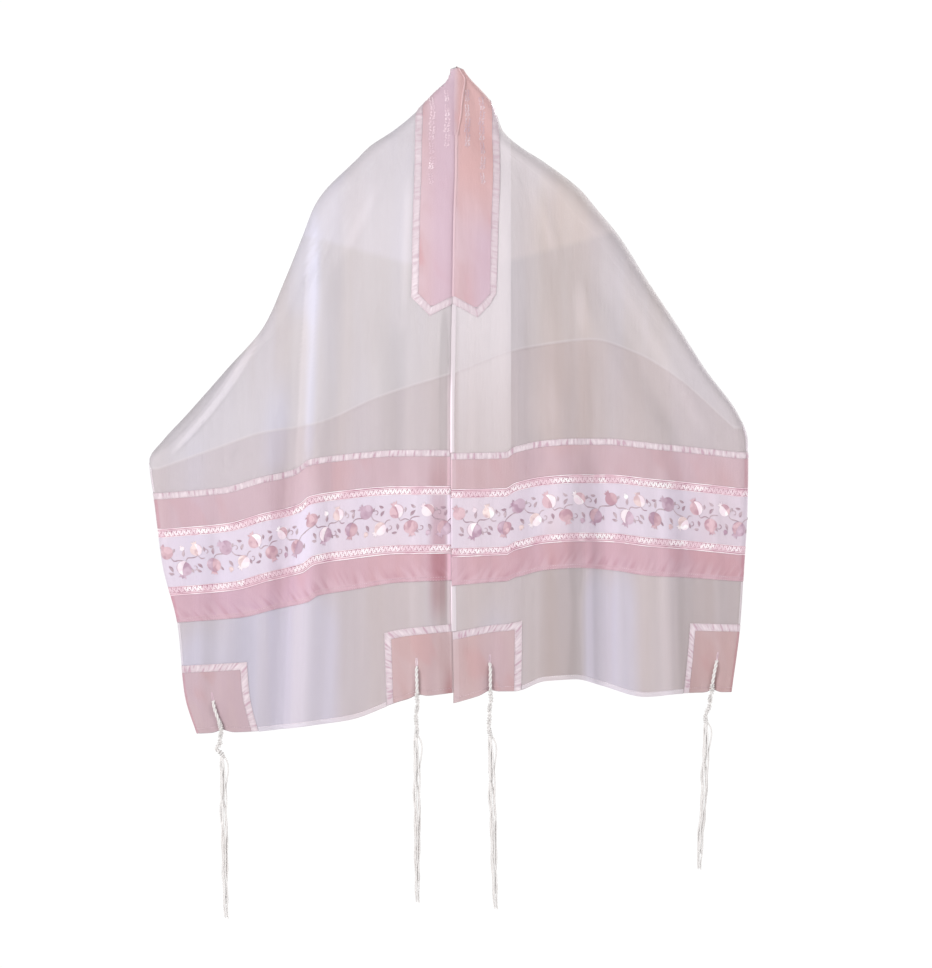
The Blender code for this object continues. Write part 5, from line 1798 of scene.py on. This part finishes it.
class TALLIT_OT_tassels(bpy.types.Operator):
    """Tie the four tassels: a plied cord out of the eyelet, wound knots, and eight free strands"""

    bl_idname = "tallit.tassels"
    bl_label = "Tassels"

    def execute(self, context):
        settings = context.scene.tallit_tassels
        wool = wool_material("wool_cord", tuple(settings.wool_colour))
        for number, tassel in enumerate(TASSELS):
            path = self.cord_path(tassel)
            tubes = [tube(ply, PLY_RADIUS, 7) for ply in self.plied(path, settings.ply_pitch, number)]
            tubes += self.windings(path) + self.free_strands(path[-1], tassel, settings.strand_radius)
            piece = link_mesh(f"{tassel.name}_wool", *joined(tubes), wool, sharp_degrees=60)
            ride(piece, "wool_cord", tassel.name)
        return {"FINISHED"}

    def cord_path(self, tassel):
        """Middle line of the wound cord: out of the eyelet, down over the hem, and on to its last knot."""
        down, across = tassel.down * MM, tassel.across * MM
        to_hem = NECK_TO_HEM - down
        length = tassel.cord * MM
        gone = np.linspace(0.0025, length, 70)
        over = np.minimum(gone, to_hem - EDGE_INSET)
        flat = np.column_stack((tassel.side * (down + over), np.full(len(gone), across)))
        place, outward = shawl().under(flat)
        sunk, clear = CORD_RADIUS * 0.4, CORD_SEAT + KNOT_RADIUS
        rise = sunk + (clear - sunk) * ramp(0, 0.014, gone)
        path = place + outward * rise[:, None]
        below = np.maximum(gone - over, 0)
        share = below / (length - to_hem)
        path[:, 2] -= below
        path[:, 0] += tassel.cord_lean * MM * ramp(0, 1, share)
        bent = 1.1 * ramp(0.78, 0.98, share) - ramp(0.52, 0.7, share) + ramp(0.7, 0.86, share)
        path[:, 0] += tassel.kink * MM * bent
        sway = ramp(0, 0.2, share)
        path[:, 0] += 0.0011 * sway * np.sin(gone * 190 + across * 40)
        path[:, 1] += 0.0009 * sway * np.sin(gone * 140 + across * 70)
        return path

    def plied(self, path, pitch, number):
        """The cord's two plies, which wind round its middle line."""
        along = frames_along(path)
        gone = np.concatenate(([0], np.cumsum(np.linalg.norm(np.diff(path, axis=0), axis=1))))
        angles = [gone / pitch * 2 * math.pi + phase + number for phase in (0, math.pi)]
        return [path + (along[0] * np.cos(angle)[:, None] + along[1] * np.sin(angle)[:, None]) * PLY_OFFSET
                for angle in angles]

    def windings(self, path):
        """Close turns of a thinner strand round the cord at each knot."""
        along = frames_along(path)
        made = []
        count, steps = len(path), 60
        for knot in range(KNOTS):
            middle = int(count * (FIRST_KNOT + NEXT_KNOT * knot))
            width = 4 if knot % 2 else 5
            spread = np.linspace(max(middle - width, 0), min(middle + width, count - 1), steps)
            at = np.clip(spread.astype(int), 0, count - 2)
            part = (spread - at)[:, None]
            centre = path[at] * (1 - part) + path[at + 1] * part
            angle = np.linspace(0, 2 * math.pi * KNOT_TURNS, steps) + knot
            swell = WINDING_OFFSET + WINDING_SWELL * np.sin(np.linspace(0, math.pi, steps))
            offset = along[0][at] * np.cos(angle)[:, None] + along[1][at] * np.sin(angle)[:, None]
            made.append(tube(centre + offset * swell[:, None], WINDING_RADIUS, 8))
        return made

    def free_strands(self, root, tassel, radius):
        """Strands of uneven lengths that start close together, spread and sway; the first one makes a loop."""
        made = []
        share = np.linspace(0, 1, 44)
        away = STRAND_SPREAD * share ** 0.5 * (1 - 0.55 * share)
        start = PLY_OFFSET * (1 - share) ** 3
        sway = STRAND_SWAY * np.sin(math.pi * share) ** 0.8
        for number in range(STRANDS):
            turn = 2.4 * number
            around = 2 * math.pi * number / STRANDS
            longer = 0.5 + 0.5 * math.cos(turn * 1.7)
            length = tassel.strands * MM * (SHORTEST_STRAND + (1 - SHORTEST_STRAND) * longer)
            x = (away * 0.5 + start) * math.cos(around) + sway * np.cos(turn + 2 * share + 4 * share * (number % 3))
            y = (away * 0.2 + start) * math.sin(around) + 0.5 * sway * np.sin(turn + 2 * share)
            x = x + tassel.strand_lean * MM * share ** 1.4 + 0.0006 * np.sin(share * 31 + turn)
            z = -length * share + 0.002 * (1 - share)
            if number == 0:
                loop = np.sin(np.pi * np.clip(share * 5, 0, 1))
                x, z = x + LOOP_SIZE * loop, z + LOOP_SIZE * 0.8 * loop
            made.append(tube(root + np.column_stack((x, y, z)), radius * (1 - 0.15 * share), 8))
        return made


def frames_along(path):
    """Two directions square to a path at each point."""
    along = unit(np.gradient(path, axis=0))
    sideways = unit((1.0, 0, 0) - along * along[:, :1])
    return sideways, np.cross(along, sideways)


def tube(path, radius, sides):
    """A closed tube round a path, as points and faces."""
    sideways, depth = frames_along(path)
    angles = np.arange(sides) * 2 * np.pi / sides
    reach_out = (np.zeros(len(path)) + radius)[:, None, None]
    ring = sideways[:, None] * np.cos(angles)[None, :, None] + depth[:, None] * np.sin(angles)[None, :, None]
    verts = (path[:, None] + ring * reach_out).reshape(-1, 3)
    ids = np.arange(len(verts)).reshape(len(path), sides)
    beside = np.roll(ids, -1, axis=1)
    around = np.stack((ids[:-1], beside[:-1], beside[1:], ids[1:]), axis=-1).reshape(-1, 4)
    return verts, around.tolist() + [ids[0, ::-1].tolist(), ids[-1].tolist()]


class TALLIT_OT_stage(bpy.types.Operator):
    """Set the pale floor, the soft studio light and the camera"""

    bl_idname = "tallit.stage"
    bl_label = "Stage"

    def execute(self, context):
        settings = context.scene.tallit_stage
        self.lay_floor(settings)
        self.light_room(settings)
        self.set_camera()
        context.scene.view_settings.view_transform = "Standard"
        return {"FINISHED"}

    def lay_floor(self, settings):
        half = settings.floor_size / 2
        marks = np.linspace(-half, half, 9)
        places, faces = flat_grid(marks, marks)
        verts = np.column_stack((places, np.full(len(places), settings.floor_level)))
        floor = link_mesh("studio_floor", verts, faces.tolist(), floor_material((0.97, 0.97, 0.97)))

    def light_room(self, settings):
        world = bpy.data.worlds.new("soft_room")
        world.use_nodes = True
        background = world.node_tree.nodes["Background"]
        background.inputs["Color"].default_value = (1, 1, 1, 1)
        tree = Tree(world.node_tree)
        height = tree.parts(tree.node("ShaderNodeTexCoord"))[2]
        overhead = height.between(0.14, 0.5)
        strength = (1 - overhead) * settings.world_light + overhead * settings.ceiling_light
        world.node_tree.links.new(strength.socket, background.inputs["Strength"])
        bpy.context.scene.world = world
        Lamp = namedtuple("Lamp", "name place size power")
        for lamp in (Lamp("key_softbox", (-2.9, -3.0, 1.3), 1.8, settings.key_light),
                     Lamp("fill_softbox", (3.0, -3.0, -0.2), 2.4, settings.fill_light),
                     Lamp("back_softbox", (2.8, 3.2, 1.2), 2.0, settings.back_light)):
            data = bpy.data.lights.new(lamp.name, "AREA")
            data.size = lamp.size
            data.energy = lamp.power
            made = bpy.data.objects.new(lamp.name, data)
            made.location = lamp.place
            target = Vector((0, 0, -0.6))
            made.rotation_euler = (target - made.location).to_track_quat("-Z", "Y").to_euler()
            bpy.context.scene.collection.objects.link(made)

    def set_camera(self):
        """A long lens square to the front. Its frame is given in units of 1.54 mm, with the place of the peak in it."""
        unit = 0.00154
        width, height = 932, 968
        peak_across, peak_down = 454, 65
        distance = 11.0
        data = bpy.data.cameras.new("front_camera")
        data.sensor_width = 36
        data.lens = data.sensor_width * distance / (height * unit)
        camera = bpy.data.objects.new("front_camera", data)
        x = (width / 2 - peak_across) * unit
        z = PEAK_HEIGHT - (height / 2 - peak_down) * unit
        camera.location = (x, -distance - 0.05, z)
        camera.rotation_euler = (math.pi / 2, 0, 0)
        data.clip_end = 200
        bpy.context.scene.collection.objects.link(camera)
        bpy.context.scene.camera = camera


class TALLIT_PT_panel(bpy.types.Panel):
    """Steps that sew and stage the shawl"""

    bl_idname = "TALLIT_PT_panel"
    bl_label = "Tallit"
    bl_space_type = "VIEW_3D"
    bl_region_type = "UI"
    bl_category = "Tallit"

    def draw(self, context):
        for operator in OPERATORS:
            self.layout.operator(operator.bl_idname)
        for name in SETTINGS:
            box = self.layout.box()
            group = getattr(context.scene, name)
            for field in group.bl_rna.properties:
                if field.identifier not in ("name", "rna_type"):
                    box.prop(group, field.identifier)


SETTINGS = {
    "tallit_cloth": ClothSettings, "tallit_bands": BandSettings, "tallit_trims": TrimSettings,
    "tallit_embroidery": EmbroiderySettings, "tallit_tassels": TasselSettings, "tallit_stage": StageSettings,
}
OPERATORS = (
    TALLIT_OT_sheer_cloth, TALLIT_OT_bands, TALLIT_OT_embroidery, TALLIT_OT_trims, TALLIT_OT_corner_squares,
    TALLIT_OT_atarah, TALLIT_OT_stitching, TALLIT_OT_tassels, TALLIT_OT_stage,
)


def register():
    for name, group in SETTINGS.items():
        bpy.utils.register_class(group)
        setattr(bpy.types.Scene, name, PointerProperty(type=group))
    for operator in OPERATORS:
        bpy.utils.register_class(operator)
    bpy.utils.register_class(TALLIT_PT_panel)


def unregister():
    bpy.utils.unregister_class(TALLIT_PT_panel)
    for operator in reversed(OPERATORS):
        bpy.utils.unregister_class(operator)
    for name, group in SETTINGS.items():
        delattr(bpy.types.Scene, name)
        bpy.utils.unregister_class(group)


def main():
    register()
    for operator in OPERATORS:
        family, step = operator.bl_idname.split(".")
        getattr(getattr(bpy.ops, family), step)()


if __name__ == "__main__":
    main()
